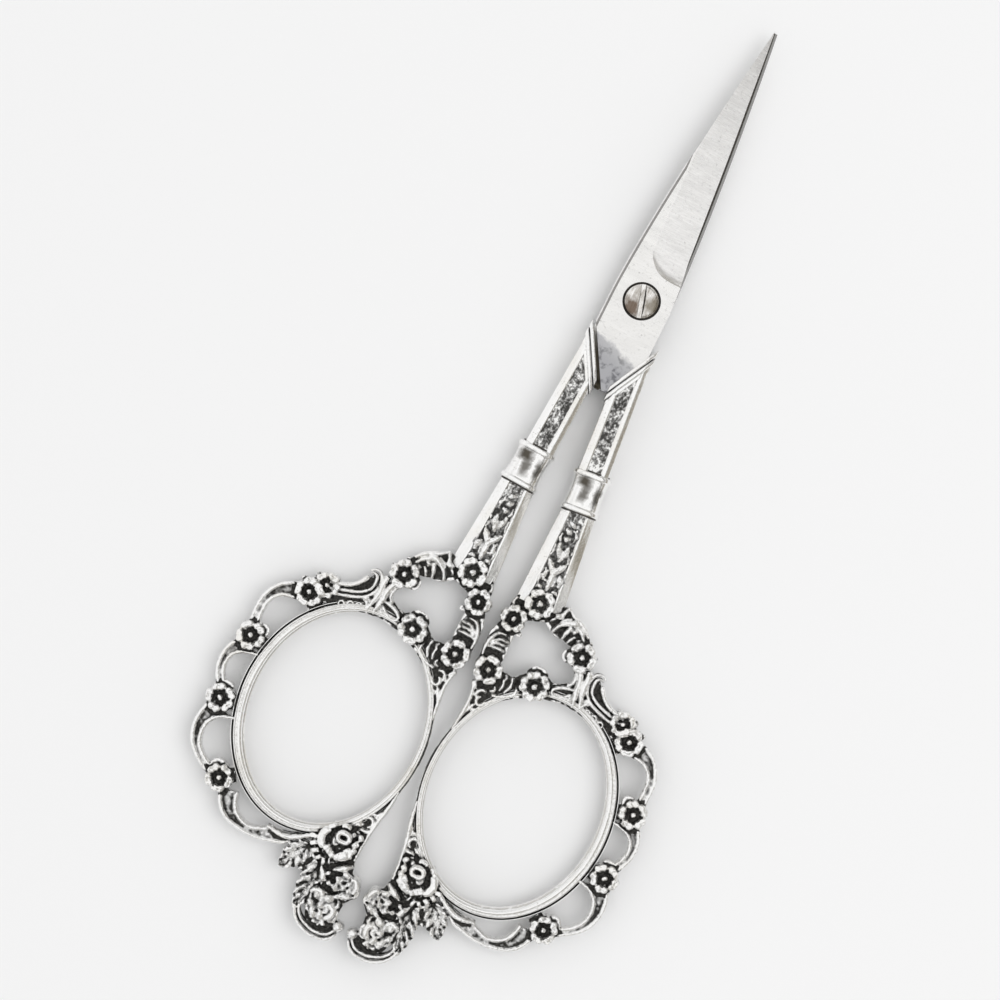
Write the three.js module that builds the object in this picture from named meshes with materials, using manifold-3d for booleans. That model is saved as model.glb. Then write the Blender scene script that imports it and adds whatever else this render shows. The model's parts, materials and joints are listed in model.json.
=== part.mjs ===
import * as THREE from "three";
import { mergeVertices } from "three/addons/utils/BufferGeometryUtils.js";
import Module from "manifold-3d";

// Embroidery scissors, closed: two ground blades on a pivot screw, each held in a cast handle whose
// shank carries a pierced floral bow. Lengths are in millimetres and angles in degrees.
// One half is drawn with x outwards from the line where the handles meet, y towards the tips and z up
// from the plane between the blades, with the pivot at x = 0, y = 0. The other half is turned over.

// Blades
const bladeLength = 38.2; // from the pivot to the tip
const bladeRootHalf = 3.95; // half the width at the pivot
const spineTipHalf = 0.16;
const edgeTipHalf = 0.1;
const spineFullness = 1.39; // how full the taper is: 1 is a straight taper
const edgeFullness = 1.1;
const bladeThickness = 1.4;
const bladesApart = 0.1;
const bladeLean = 1.3; // the closed blades lean towards one handle by this angle
const edgeThickness = 0.2; // the cutting edge's flat
const bevelReach = 5.15; // from the cutting edge to where the ground bevel begins, at its root
const bevelGain = 0.048; // the bevel widens towards the spine by this much per millimetre
const bevelStart = 3.7; // from the pivot to the end of the grinding, at the cutting edge
const bevelSweep = 2.6; // how much further up the grinding ends, at the bevel's far side
const bevelRamp = 1.1; // length of the ramp where the grinding runs out
const spineChamfer = 0.28;

// Bolster: the slanted end of the shank where the blade comes out
const bolsterRim = 0.15; // the bolster stands this far out past the blade's edge
const bolsterTopY = -5.6;
const bolsterFootX = 0.55;
const bolsterFootY = -12;
const shoulderGap = 0.1; // between the blade's shoulder and the bolster
const crossingGap = 0.45; // between the closed blade and the other handle's bolster
const beadWidth = 0.44; // the two beads that border the bolster
const beadGap = 0.2;
const beadRise = 0.22;

// Tang and its socket in the shank
const tangHalf = 1.0;
const tangLength = 8.5; // past the bolster's foot
const tangGap = 0.12;

// Shank
const shankWall = 0.45; // metal over the tang
const shankTopHalf = 1.78; // half the width beside the bolster
const shankTopRim = 0.3; // the shank stands this far out past the bolster's top
const shankMidX = 3.88; // the shank's middle line at the collar
const shankMidHalf = 2.1; // half the width where the shank enters the collar
const shankFootHalf = 2.22; // half the width where it leaves the collar
const shankEndX = 4.75; // the shank's middle line at the bow
const shankEndHalf = 3.15;
const shankEndY = -40.6;
const shankEndHeight = 1.2; // half the thickness at the bow
const shankBevel = 0.52; // share of the width that is the flat panel
const shankFlank = 0.52; // share of the thickness that is the upright flank

// Collar
const collarTopY = -22.3;
const collarLength = 5.4;
const collarStep = 0.5; // the collar's lower ring stands this far out past the shank's faces
const collarWaist = 0.3; // depth of the hollow between the rings
const collarSides = 12;

// Pivot screw
const headRadius = 2.3;
const headGap = 0.2; // between the head and its seat, all round
const headSeat = 0.5; // depth of the seat in the front blade
const headRise = 0.5; // height of the dome over the blade
const slotWidth = 0.6;
const slotDepth = 0.5;
const slotTurn = 16;
const shaftRadius = 1.5;
const shaftGap = 0.08;
const threadRadius = 1.25;
const screwSides = 24;
const tailRise = 0.25; // the screw's end stands this far out of the rear blade

// Finger ring
const ringInnerHalfWidth = 11.05;
const ringInnerHalfLength = 13.85;
const ringDrop = 64.35; // from the pivot to the middle of the ring
const ringsApart = 0.74; // between the two rings
const ringBarInner = 1.12; // width of the bar beside the other ring
const ringBarOuter = 1.86;
const ringBarTop = 1.35;
const ringBarFoot = 1.55;
const ringHalfHeight = 1.35;

// Ornament
const innerClear = 0.45; // ornament stays this far from the line where the handles meet
const webHalf = 0.85; // half the thickness of the pierced web
const leafHalf = 1.45; // half the thickness of its leaf ridges
const leafBar = 0.27; // half the width of a single ridge
const fluteFloor = 0.55; // depth of the furrows in a fluted leaf, as a share of its thickness
const blossomHalf = 1.75; // half the thickness at the petals' rims
const rimReach = 0.8; // where leaves meet a blossom, as a share of its radius
const infillHalf = 1.1; // half the thickness where the ring runs into the leaves
const archHalf = 0.95;
const ballRadius = 0.85;
const ballsApart = 0.4; // between the two balls that stop the closing
const ballHalf = 1.3;
const roseRadius = 2.9;

const { Vector2, Vector3 } = THREE;
const wasm = await Module();
wasm.setup();

const degrees = THREE.MathUtils.degToRad;
const at = (x, y) => new Vector2(x, y);

// Sections, as shares of a rod's half width and half height. Each is alike above and below, and
// only its upper side is written, from one flank to the other.
const twoSided = (upper) => [...upper, ...upper.map(([across, up]) => [across, -up]).reverse()];
const round = (sides) => {
  const upper = [];
  for (let i = 0; i < sides / 2; i++) {
    const turn = (2 * Math.PI * (i + 0.5)) / sides;
    upper.push([Math.cos(turn), Math.sin(turn)]);
  }
  return twoSided(upper);
};
const slab = twoSided([[1, 1], [-1, 1]]);
const ridge = twoSided([[1, 0.55], [0, 1], [-1, 0.55]]);
const panelled = twoSided([[1, shankFlank], [shankBevel, 1], [-shankBevel, 1], [-1, shankFlank]]);
const fluted = (crests) => {
  const upper = [];
  for (let i = 0; i <= 2 * crests; i++) upper.push([1 - i / crests, i % 2 ? 1 : fluteFloor]);
  return twoSided(upper);
};

function solid(points, triangles) {
  const vertProperties = new Float32Array(points.flatMap((p) => [p.x, p.y, p.z]));
  const triVerts = new Uint32Array(triangles.flat());
  return new wasm.Manifold(new wasm.Mesh({ numProp: 3, vertProperties, triVerts }));
}

function solidFrom(geometry) {
  const bare = new THREE.BufferGeometry();
  bare.setAttribute("position", geometry.getAttribute("position"));
  bare.setIndex(geometry.index);
  const merged = mergeVertices(bare, 1e-4);
  const place = new Vector3();
  const points = [];
  for (let i = 0; i < merged.attributes.position.count; i++) {
    points.push(place.fromBufferAttribute(merged.attributes.position, i).clone());
  }
  const triangles = [];
  const order = merged.index.array;
  for (let i = 0; i < order.length; i += 3) {
    const triangle = [order[i], order[i + 1], order[i + 2]];
    if (new Set(triangle).size === 3) triangles.push(triangle);
  }
  return solid(points, triangles);
}

function joined(solids) {
  return solids.reduce((whole, piece) => whole.add(piece));
}

// A solid through a row of rings of points, open with flat ends or closed on itself.
function skinned(rings, closed) {
  const sides = rings[0].length;
  const triangles = [];
  const spans = closed ? rings.length : rings.length - 1;
  for (let i = 0; i < spans; i++) {
    const a = i * sides;
    const b = ((i + 1) % rings.length) * sides;
    for (let j = 0; j < sides; j++) {
      const k = (j + 1) % sides;
      triangles.push([a + j, a + k, b + k], [a + j, b + k, b + j]);
    }
  }
  if (!closed) {
    const last = (rings.length - 1) * sides;
    for (let j = 0; j < sides / 2 - 1; j++) {
      const [a, b, c, d] = [j, j + 1, sides - 2 - j, sides - 1 - j];
      triangles.push([a, c, b], [a, d, c]);
      triangles.push([last + a, last + b, last + c], [last + a, last + c, last + d]);
    }
  }
  return solid(rings.flat(), triangles);
}

// A bar that lies along stations of x, y, half width and half height, with a smooth run between them
// where steps are given.
function rod(stations, section, steps = 0) {
  let run = stations;
  if (steps) {
    const course = new THREE.CatmullRomCurve3(stations.map((s) => new Vector3(s[0], s[1], 0)));
    const girth = new THREE.CatmullRomCurve3(stations.map((s) => new Vector3(s[2], s[3], 0)));
    run = [];
    for (let i = 0; i <= steps; i++) {
      const place = course.getPoint(i / steps);
      const size = girth.getPoint(i / steps);
      run.push([place.x, place.y, size.x, size.y]);
    }
  }
  const rings = run.map(([x, y, width, height], i) => {
    const before = run[Math.max(i - 1, 0)];
    const after = run[Math.min(i + 1, run.length - 1)];
    const along = at(after[0] - before[0], after[1] - before[1]).normalize();
    return section.map(
      ([across, up]) =>
        new Vector3(x - along.y * width * across, y + along.x * width * across, height * up),
    );
  });
  return skinned(rings, false);
}

// Where the line through two points crosses the line through two others.
function meet(a, b, c, d) {
  const run = b.clone().sub(a);
  const other = d.clone().sub(c);
  const share = c.clone().sub(a).cross(other) / run.cross(other);
  return a.clone().addScaledVector(run, share);
}

function plate(points, low, high) {
  const shape = new THREE.Shape(points);
  const geometry = new THREE.ExtrudeGeometry(shape, { depth: high - low, bevelEnabled: false });
  return solidFrom(geometry).translate([0, 0, low]);
}

function drum(radius, low, high) {
  const geometry = new THREE.CylinderGeometry(radius, radius, high - low, screwSides);
  geometry.rotateX(Math.PI / 2);
  return solidFrom(geometry).translate([0, 0, (low + high) / 2]);
}

// Levels
const innerFace = bladesApart / 2;
const outerFace = innerFace + bladeThickness;
const shankHalf = outerFace + tangGap + shankWall;
const restHalf = shankHalf + collarStep; // the scissors lie on the collars and the roses

// Bolster lines in one half: from its outer top to its inner foot
const bolsterTop = at(bladeRootHalf + bolsterRim, bolsterTopY);
const bolsterFoot = at(bolsterFootX, bolsterFootY);
const slant = bolsterFoot.clone().sub(bolsterTop).normalize();
const bladeward = at(slant.y, -slant.x);
const besideBolster = (point, distance) => point.clone().addScaledVector(bladeward, distance);
const turnedOver = (point) => at(-point.x, point.y);

// The shank's middle line
const shankTop = at(bolsterTop.x + shankTopRim - shankTopHalf, bolsterTopY);
const shankMid = at(shankMidX, collarTopY);
const shankEnd = at(shankEndX, shankEndY);
const shankRun = shankMid.clone().sub(shankTop).normalize();
const onShank = (along, across) =>
  at(
    shankTop.x + shankRun.x * along - shankRun.y * across,
    shankTop.y + shankRun.y * along + shankRun.x * across,
  );

// Half widths of the blade at a distance from the pivot
const taper = (root, tip, fullness, y) =>
  tip + (root - tip) * (1 - Math.max(y / bladeLength, 0) ** fullness);
const spineHalf = (y) => taper(bladeRootHalf, spineTipHalf, spineFullness, y);
const edgeHalf = (y) => taper(bladeRootHalf, edgeTipHalf, edgeFullness, y);
const bevelSide = (y) => edgeHalf(bevelStart) - bevelReach - bevelGain * (y - bevelStart);

// The tang's corners at one side, where it leaves the blade's shoulder and at its end
const tangEnd = shankTop.distanceTo(bolsterFoot) + tangLength;
function tangLine(across) {
  const shoulder = meet(
    onShank(0, across),
    onShank(1, across),
    besideBolster(bolsterTop, shoulderGap),
    besideBolster(bolsterFoot, shoulderGap),
  );
  return [shoulder, onShank(tangEnd, across)];
}

function bladeSolid(lean) {
  const pivoted = (x, y) => at(x, y).rotateAround(at(0, 0), -degrees(lean));
  const rises = [0, 0.1, 0.25, 0.5, 0.78, 1].map((share) => share * bladeLength);
  const edge = rises.map((y) => pivoted(edgeHalf(y), y));
  const spine = rises.map((y) => pivoted(-spineHalf(y), y)).reverse();
  const shoulderTop = meet(
    pivoted(bladeRootHalf, 0),
    pivoted(bladeRootHalf, 1),
    besideBolster(bolsterTop, shoulderGap),
    besideBolster(bolsterFoot, shoulderGap),
  );
  const crossing = (point) => turnedOver(besideBolster(point, crossingGap));
  const crossingTop = meet(
    pivoted(-bladeRootHalf, 0),
    pivoted(-bladeRootHalf, 1),
    crossing(bolsterTop),
    crossing(bolsterFoot),
  );
  const [innerShoulder, innerEnd] = tangLine(-tangHalf);
  const [outerShoulder, outerEnd] = tangLine(tangHalf);
  const outline = [
    shoulderTop, ...edge, ...spine, crossingTop, crossing(bolsterFoot),
    besideBolster(bolsterFoot, shoulderGap), innerShoulder, innerEnd, outerEnd, outerShoulder,
  ];
  return plate(outline, innerFace, outerFace)
    .subtract(grinding(lean))
    .subtract(spineCut(lean));
}

// The metal that grinding takes off the outer face: nothing along the bevel's far side and at its
// run-out, and all but the edge's flat at the cutting edge.
function grinding(lean) {
  const shares = [0, 0.3, 0.6, 0.8, 1, 1.15];
  const skim = 0.02;
  const full = bladeThickness - edgeThickness;
  const rows = [];
  const row = (place, portion) => {
    rows.push(
      shares.map((share) => {
        const y = place(share);
        const x = bevelSide(y) + (edgeHalf(y) - bevelSide(y)) * share;
        const depth = portion * full * Math.min(share, 1) - skim;
        const flat = at(x, y).rotateAround(at(0, 0), -degrees(lean));
        return new Vector3(flat.x, flat.y, outerFace - depth);
      }),
    );
  };
  const runOut = (share) => bevelStart + bevelSweep * (1 - Math.min(share, 1)) ** 4;
  row(runOut, 0);
  row((share) => runOut(share) + 0.4 * bevelRamp, 0.7);
  row((share) => runOut(share) + bevelRamp, 1);
  const rest = bladeLength - bevelStart - bevelSweep - bevelRamp;
  for (const share of [0.2, 0.4, 0.6, 0.8, 1.03]) {
    row(() => bevelStart + bevelSweep + bevelRamp + share * rest, 1);
  }
  return above(rows, outerFace + 1);
}

// A small chamfer along the back of the blade.
function spineCut(lean) {
  const rows = [-0.2, 0.1, 0.3, 0.5, 0.75, 1.03].map((share) => {
    const y = share * bladeLength;
    return [-1, 0, 1].map((step) => {
      const x = spineHalf(y) - step * spineChamfer;
      const flat = at(-x, y).rotateAround(at(0, 0), -degrees(lean));
      return new Vector3(flat.x, flat.y, outerFace + (step - 1) * spineChamfer + 0.01 * step);
    });
  });
  return above(rows, outerFace + 1);
}

// The space between a grid of points and a level over it.
function above(rows, level) {
  const width = rows[0].length;
  const count = rows.length * width;
  const points = rows.flat();
  const lids = points.map((p) => new Vector3(p.x, p.y, level));
  const triangles = [];
  for (let i = 0; i + 1 < rows.length; i++) {
    for (let j = 0; j + 1 < width; j++) {
      const a = i * width + j;
      const b = a + 1;
      const c = a + width;
      const d = c + 1;
      triangles.push([a, d, b], [a, c, d]);
      triangles.push([count + a, count + b, count + d], [count + a, count + d, count + c]);
    }
  }
  const rim = [];
  for (let j = 0; j < width - 1; j++) rim.push(j);
  for (let i = 0; i < rows.length - 1; i++) rim.push(i * width + width - 1);
  for (let j = width - 1; j > 0; j--) rim.push((rows.length - 1) * width + j);
  for (let i = rows.length - 1; i > 0; i--) rim.push(i * width);
  rim.forEach((a, i) => {
    const b = rim[(i + 1) % rim.length];
    triangles.push([a, b, count + b], [a, count + b, count + a]);
  });
  return solid([...points, ...lids], triangles);
}

// Finger ring: its inner and outer outlines are ellipses, so its bar is wider on the outside.
const ringOuterHalfWidth = ringInnerHalfWidth + (ringBarInner + ringBarOuter) / 2;
const ringOuterHalfLength = ringInnerHalfLength + (ringBarTop + ringBarFoot) / 2;
const ringMiddle = at(ringsApart / 2 + ringOuterHalfWidth, -ringDrop + (ringBarTop - ringBarFoot) / 2);
const ringOpening = at(ringMiddle.x - (ringBarOuter - ringBarInner) / 2, -ringDrop);

// A point beside the ring: an angle round it from the outside, and how far out it stands.
function onRing(angle, standOff) {
  const turn = degrees(angle);
  const outwards = at(Math.cos(turn) / ringOuterHalfWidth, Math.sin(turn) / ringOuterHalfLength);
  outwards.normalize();
  return at(
    ringMiddle.x + ringOuterHalfWidth * Math.cos(turn) + outwards.x * standOff,
    ringMiddle.y + ringOuterHalfLength * Math.sin(turn) + outwards.y * standOff,
  );
}

function ring() {
  const rings = [];
  const stations = 28;
  for (let i = 0; i < stations; i++) {
    const turn = (2 * Math.PI * i) / stations;
    const ellipse = (middle, width, length) =>
      at(middle.x + width * Math.cos(turn), middle.y + length * Math.sin(turn));
    const outer = ellipse(ringMiddle, ringOuterHalfWidth, ringOuterHalfLength);
    const inner = ellipse(ringOpening, ringInnerHalfWidth, ringInnerHalfLength);
    rings.push(
      round(8).map(([across, up]) => {
        const place = inner.clone().lerp(outer, (1 - across) / 2);
        return new Vector3(place.x, place.y, up * ringHalfHeight);
      }),
    );
  }
  return skinned(rings, true);
}

// A flower alike on both faces, cast with a draft that meets at the plane between the blades. Each
// row of its profile gives the reach at a petal's middle and between two petals, as shares of the
// radius, and the height there; the last row is the parting line.
function flower(middle, radius, turn, crown, profile) {
  const sides = 15; // three to each of five petals
  const circle = ([petal, valley, height]) => {
    const points = [];
    for (let j = 0; j < sides; j++) {
      const angle = degrees(turn) + (2 * Math.PI * j) / sides;
      const reach = radius * (j % 3 ? petal : valley);
      points.push(
        new Vector3(middle.x + reach * Math.cos(angle), middle.y + reach * Math.sin(angle), height),
      );
    }
    return points;
  };
  const under = profile.slice(0, -1).map(([petal, valley, height]) => [petal, valley, -height]);
  const rings = [...profile, ...under.reverse()];
  const points = rings.flatMap(circle);
  const top = points.length;
  points.push(new Vector3(middle.x, middle.y, crown), new Vector3(middle.x, middle.y, -crown));
  const triangles = [];
  for (let j = 0; j < sides; j++) {
    const k = (j + 1) % sides;
    const last = (rings.length - 1) * sides;
    triangles.push([top, j, k], [top + 1, last + k, last + j]);
    for (let i = 0; i + 1 < rings.length; i++) {
      const a = i * sides;
      const b = a + sides;
      triangles.push([a + j, b + j, b + k], [a + j, b + k, a + k]);
    }
  }
  return solid(points, triangles);
}

const blossom = (middle, radius, turn) =>
  flower(middle, radius, turn, blossomHalf - 0.2, [
    [0.42, 0.3, blossomHalf - 0.8],
    [0.84, 0.64, blossomHalf],
    [1, 0.76, 0],
  ]);

// A leaf ridge through points of a lattice, fading at its far end.
function leafRidge(points, bar = leafBar, steps = 4) {
  const last = points.length - 1;
  return rod(
    points.map((p, i) => [p.x, p.y, i === last ? bar * 0.6 : bar, i === last ? leafHalf * 0.9 : leafHalf]),
    ridge,
    steps,
  );
}

// A broad leaf from its stalk to its tip, with a raised midrib.
function leaf(stalk, tip, half, height) {
  const shares = [[0, 0.35, 0.85], [0.3, 0.9, 1], [0.6, 1, 0.95], [1, 0.12, 0.6]];
  return rod(
    shares.map(([share, width, rise]) => {
      const place = stalk.clone().lerp(tip, share);
      return [place.x, place.y, width * half, rise * height];
    }),
    ridge,
    4,
  );
}

function bowSolid() {
  const ringTop = at(ringMiddle.x, ringMiddle.y + ringOuterHalfLength);
  const fromTop = (x, y) => at(ringTop.x + x, ringTop.y + y);

  // Blossoms at the corners of the pierced triangle and round the outside of the ring
  const shankBlossom = { middle: at(shankEnd.x - 0.05, shankEnd.y + 0.4), radius: 1.9, turn: 20 };
  const upperBlossom = { middle: at(innerClear + 2.03, shankEnd.y - 2.7), radius: 1.7, turn: 0 };
  const lowerBlossom = { middle: at(innerClear + 1.87, ringTop.y - 1.35), radius: 1.85, turn: 50 };
  const ringBlossom = { middle: onRing(110, 0.2), radius: 1.9, turn: 10 };
  const cornerBlossom = { middle: fromTop(-0.49, 5.1), radius: 1.9, turn: 30 };
  const outerBlossoms = [
    { middle: onRing(58.9, 2.3), radius: 1.65, turn: 0 },
    { middle: onRing(50.4, 2.1), radius: 1.8, turn: 35 },
    { middle: onRing(17.5, 2.0), radius: 1.75, turn: 10 },
    { middle: onRing(-12.7, 1.85), radius: 1.75, turn: 25 },
    { middle: onRing(-48.7, 2.1), radius: 1.7, turn: 0 },
  ];
  const blossoms = [
    shankBlossom, upperBlossom, lowerBlossom, ringBlossom, cornerBlossom, ...outerBlossoms,
  ];

  // A place in the band between two blossoms, as a share of the way from one's rim to the other's
  // and a distance across.
  const band = (from, to) => (along, across) => {
    const way = to.middle.clone().sub(from.middle).normalize();
    const start = from.middle.clone().addScaledVector(way, rimReach * from.radius);
    const end = to.middle.clone().addScaledVector(way, -rimReach * to.radius);
    return start.lerp(end, along).add(at(-way.y, way.x).multiplyScalar(across));
  };
  const column = band(upperBlossom, lowerBlossom);
  const floor = band(lowerBlossom, ringBlossom);
  const diagonal = band(shankBlossom, cornerBlossom);
  const web = (points, half) => rod(points.map((p) => [p.x, p.y, half, webHalf]), slab, 4);
  const swag = (stations, crests) =>
    rod(stations.map(([p, half]) => [p.x, p.y, half, leafHalf]), fluted(crests), stations.length);
  const webs = [
    web([shankEnd, at(upperBlossom.middle.x + 0.1, shankEnd.y - 0.4), upperBlossom.middle], 1.1),
    web([lowerBlossom.middle, floor(0.5, -0.4), ringBlossom.middle], 1.05),
    web([fromTop(1.8, 2.9), fromTop(3.2, 0.8), onRing(66, 1.1), onRing(58, 2)], 0.6),
    rod(
      [
        [lowerBlossom.middle, 1.2], [onRing(138, 0.8), 1.1], [onRing(145, 0.3), 0.75],
        [onRing(153, -0.1), 0.3],
      ].map(([p, half]) => [p.x, p.y, half, infillHalf]),
      slab,
      4,
    ),
  ];

  // Leaf swags in the three bands, the tie of stems and the scroll that runs out to the ring
  const swags = [
    swag([[column(0, -0.5), 1.3], [column(0.5, -0.55), 1.45], [column(0.97, -0.45), 1.35]], 3),
    swag([[floor(0.56, 0.6), 1], [floor(0.6, -0.8), 1.35], [floor(0.5, -2.1), 1.2]], 3),
    swag([[diagonal(0, 0.3), 1.4], [diagonal(0.5, 0.65), 1.75], [diagonal(1, 0.3), 1.4]], 3),
    swag([[fromTop(0.2, 3.7), 0.8], [fromTop(1, 1.6), 0.9], [fromTop(1.8, -0.9), 0.95]], 3),
    leafRidge([fromTop(0.6, 1.3), fromTop(-0.8, 0.9), fromTop(-1.9, 0.1), fromTop(-2.4, -0.7)]),
    leafRidge([onRing(78.7, 3.9), onRing(81, 4.4), onRing(83, 3.8), onRing(82.5, 2.6),
      onRing(79, 1.2), onRing(72.4, 0.8), onRing(62, 1.6)], 0.3, 8),
    leafRidge([onRing(79.5, 3.1), onRing(76.5, 2.6), onRing(71, 1.9), onRing(62, 2.3)], 0.3, 5),
  ];
  const bud = solidFrom(new THREE.SphereGeometry(0.75, 6, 4).scale(1, 1, 1.7));
  const budAt = diagonal(0.13, 1.5);

  // Crescents that join the outer blossoms, as an angle, a stand-off and a half width
  const arches = [
    [[45, 2.8, 0.9], [36.5, 3.9, 0.6], [30.5, 3.7, 0.46], [24, 3, 0.55], [19, 2.4, 0.6]],
    [[12, 1.6, 1.3], [7, 2.9, 0.78], [1.6, 3.45, 0.53], [-3.5, 3, 0.5], [-10, 2.2, 0.55]],
    [[-17, 1.7, 1.4], [-22.6, 3.2, 1], [-27.6, 4.05, 0.68], [-34, 4.15, 0.57], [-41, 3.4, 0.6],
      [-47, 2.4, 0.6]],
    [[-54, 1.8, 1.1], [-64, 2.65, 0.85], [-71.5, 3, 0.75], [-78, 2.65, 0.72], [-84, 2.05, 0.75],
      [-95, 1.35, 0.5], [-107, 0.2, 0.45]],
  ].map((stations) =>
    rod(
      stations.map(([angle, standOff, half]) => {
        const place = onRing(angle, standOff);
        return [place.x, place.y, half, archHalf];
      }),
      round(6),
      stations.length,
    ),
  );
  const stubs = [54, 17.5, -12.7, -48.7].map((angle) => {
    const from = onRing(angle, -0.6);
    const to = onRing(angle, 2);
    return rod([[from.x, from.y, 1, webHalf], [to.x, to.y, 1, webHalf]], slab);
  });

  return joined([
    ...webs,
    ...swags,
    bud.translate([budAt.x, budAt.y, 0]),
    ...blossoms.map(({ middle, radius, turn }) => blossom(middle, radius, turn)),
    ...arches,
    ...stubs,
    tailSolid(),
  ]);
}

// The spray below the ring: a rose, two small flowers, two leaves and a scroll that ends in the ball
// which meets the other handle's ball when the scissors close.
function tailSolid() {
  const rose = onRing(-121.8, 1.5);
  const fromRose = (x, y) => at(rose.x + x, rose.y + y);
  const ball = at(ballsApart / 2 + ballRadius, rose.y - 9.6);
  const nearFlower = { middle: at(innerClear + 1.8, rose.y - 4.55), radius: 1.7 };
  const farFlower = { middle: fromRose(-1.6, -7.9), radius: 2.1 };
  const spray = [
    [fromRose(0.4, 0), 1.9], [fromRose(-0.4, -3.6), 2], [fromRose(-0.6, -6.8), 2],
    [fromRose(-0.9, -9), 1.9], [fromRose(-1.5, -10.6), 1],
  ].map(([p, half]) => [p.x, p.y, half, webHalf]);
  const scroll = [
    [fromRose(0.95, -7.6), 0.3], [fromRose(0.75, -9.3), 0.34], [fromRose(-0.3, -10.9), 0.36],
    [fromRose(-2, -11.45), 0.36], [fromRose(-3.6, -10.9), 0.36], [ball, 0.4],
  ].map(([p, half]) => [p.x, p.y, half, leafHalf]);
  const hollow = [fromRose(0.3, -10), at(ball.x + 0.6, ball.y - 0.5)].map((p) =>
    [p.x, p.y, 1.25, webHalf]);
  const stems = [
    [onRing(-153, -0.3), 0.25], [onRing(-146, 0), 0.5], [onRing(-138, 0.3), 0.9], [rose, 1.2],
  ].map(([p, half]) => [p.x, p.y, half, infillHalf]);
  const knot = solidFrom(new THREE.SphereGeometry(0.85, 6, 4).scale(1, 1, 1.8));
  const knotAt = onRing(-140.2, 0.3);
  const stop = solidFrom(new THREE.SphereGeometry(ballRadius, 8, 6));
  return joined([
    flower(rose, roseRadius, 15, restHalf, [
      [0.42, 0.42, restHalf],
      [0.52, 0.47, restHalf - 0.8],
      [0.84, 0.7, restHalf - 0.3],
      [1, 0.84, 0],
    ]),
    rod(spray, slab, 4),
    rod(stems, slab, 4),
    rod(hollow, slab),
    rod(scroll, ridge, 7),
    knot.translate([knotAt.x, knotAt.y, 0]),
    stop.scale([1, 1, ballHalf / ballRadius]).translate([ball.x, ball.y, 0]),
    blossom(nearFlower.middle, nearFlower.radius, 40),
    blossom(farFlower.middle, farFlower.radius, 5),
    leaf(fromRose(2.4, -0.8), fromRose(5.4, -5.4), 1.2, blossomHalf),
    leaf(fromRose(1.2, -2.2), fromRose(2.1, -9.4), 1.55, blossomHalf),
  ]);
}

function collarSolid() {
  const facet = Math.cos(Math.PI / collarSides);
  const profile = [
    [0, 0], [restHalf - 0.2, 0], [restHalf, 0.25], [restHalf, 0.85], [restHalf - collarWaist, 1.35],
    [restHalf - collarWaist, collarLength - 1.2], [restHalf - 0.12, collarLength - 0.8],
    [restHalf - 0.12, collarLength - 0.25], [restHalf - 0.3, collarLength], [0, collarLength],
  ].map(([radius, rise]) => at(radius / facet, rise));
  const geometry = new THREE.LatheGeometry(profile, collarSides, Math.PI / collarSides);
  geometry.rotateZ(Math.atan2(shankRun.x, -shankRun.y));
  const foot = shankMid.clone().addScaledVector(shankRun, collarLength);
  return solidFrom(geometry).translate([foot.x, foot.y, 0]);
}

function handleSolid() {
  const collarFoot = shankMid.clone().addScaledVector(shankRun, collarLength);
  const seated = collarLength / 5; // how far each length of shank runs into the collar
  const upper = (grow) =>
    rod(
      [
        [onShank(-3, 0), shankTopHalf],
        [shankMid.clone().addScaledVector(shankRun, seated), shankMidHalf],
      ].map(([p, half]) => [p.x, p.y, half + grow, shankHalf + grow]),
      panelled,
    );
  const lower = rod(
    [
      [collarFoot.clone().addScaledVector(shankRun, -seated), shankFootHalf, shankHalf],
      [shankEnd, shankEndHalf, shankEndHeight],
    ].map(([p, half, height]) => [p.x, p.y, half, height]),
    panelled,
  );
  const alongBolster = (near, far) => {
    const middle = -(near + far) / 2;
    const half = (far - near) / 2;
    const from = besideBolster(bolsterTop, middle).addScaledVector(slant, -6);
    const to = besideBolster(bolsterFoot, middle).addScaledVector(slant, 6);
    return rod([[from.x, from.y, half, 2 * restHalf], [to.x, to.y, half, 2 * restHalf]], slab);
  };
  const beads = alongBolster(0, beadWidth).add(
    alongBolster(beadWidth + beadGap, 2 * beadWidth + beadGap),
  );
  const bolster = upper(0).add(upper(beadRise).intersect(beads)).subtract(alongBolster(-20, 0));
  const socketFrom = onShank(-3, 0);
  const socketTo = onShank(tangEnd + tangGap, 0);
  const socket = rod(
    [socketFrom, socketTo].map((p) => [p.x, p.y, tangHalf + tangGap, bladeThickness / 2 + tangGap]),
    slab,
  ).translate([0, 0, (innerFace + outerFace) / 2]);
  return joined([bolster, collarSolid(), lower, ring(), bowSolid()]).subtract(socket);
}

function screwSolid() {
  const seat = outerFace - headSeat + shaftGap;
  const dome = outerFace + headRise;
  const tail = -outerFace - tailRise;
  const profile = [
    [0, tail], [threadRadius - 0.25, tail], [threadRadius, tail + 0.25], [threadRadius, 0],
    [shaftRadius, 0], [shaftRadius, seat], [headRadius, seat], [headRadius, outerFace + 0.08],
    [headRadius * 0.8, outerFace + headRise * 0.62], [headRadius * 0.45, dome - headRise * 0.1],
    [0, dome],
  ].map(([radius, rise]) => at(radius, rise));
  const geometry = new THREE.LatheGeometry(profile, screwSides);
  geometry.rotateX(Math.PI / 2);
  const turn = degrees(slotTurn - 90);
  const half = at(Math.cos(turn), Math.sin(turn)).multiplyScalar(2 * headRadius);
  const slot = rod(
    [-1, 1].map((side) => [side * half.x, side * half.y, slotWidth / 2, slotDepth]),
    slab,
  );
  return solidFrom(geometry).subtract(slot.translate([0, 0, dome]));
}

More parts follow.
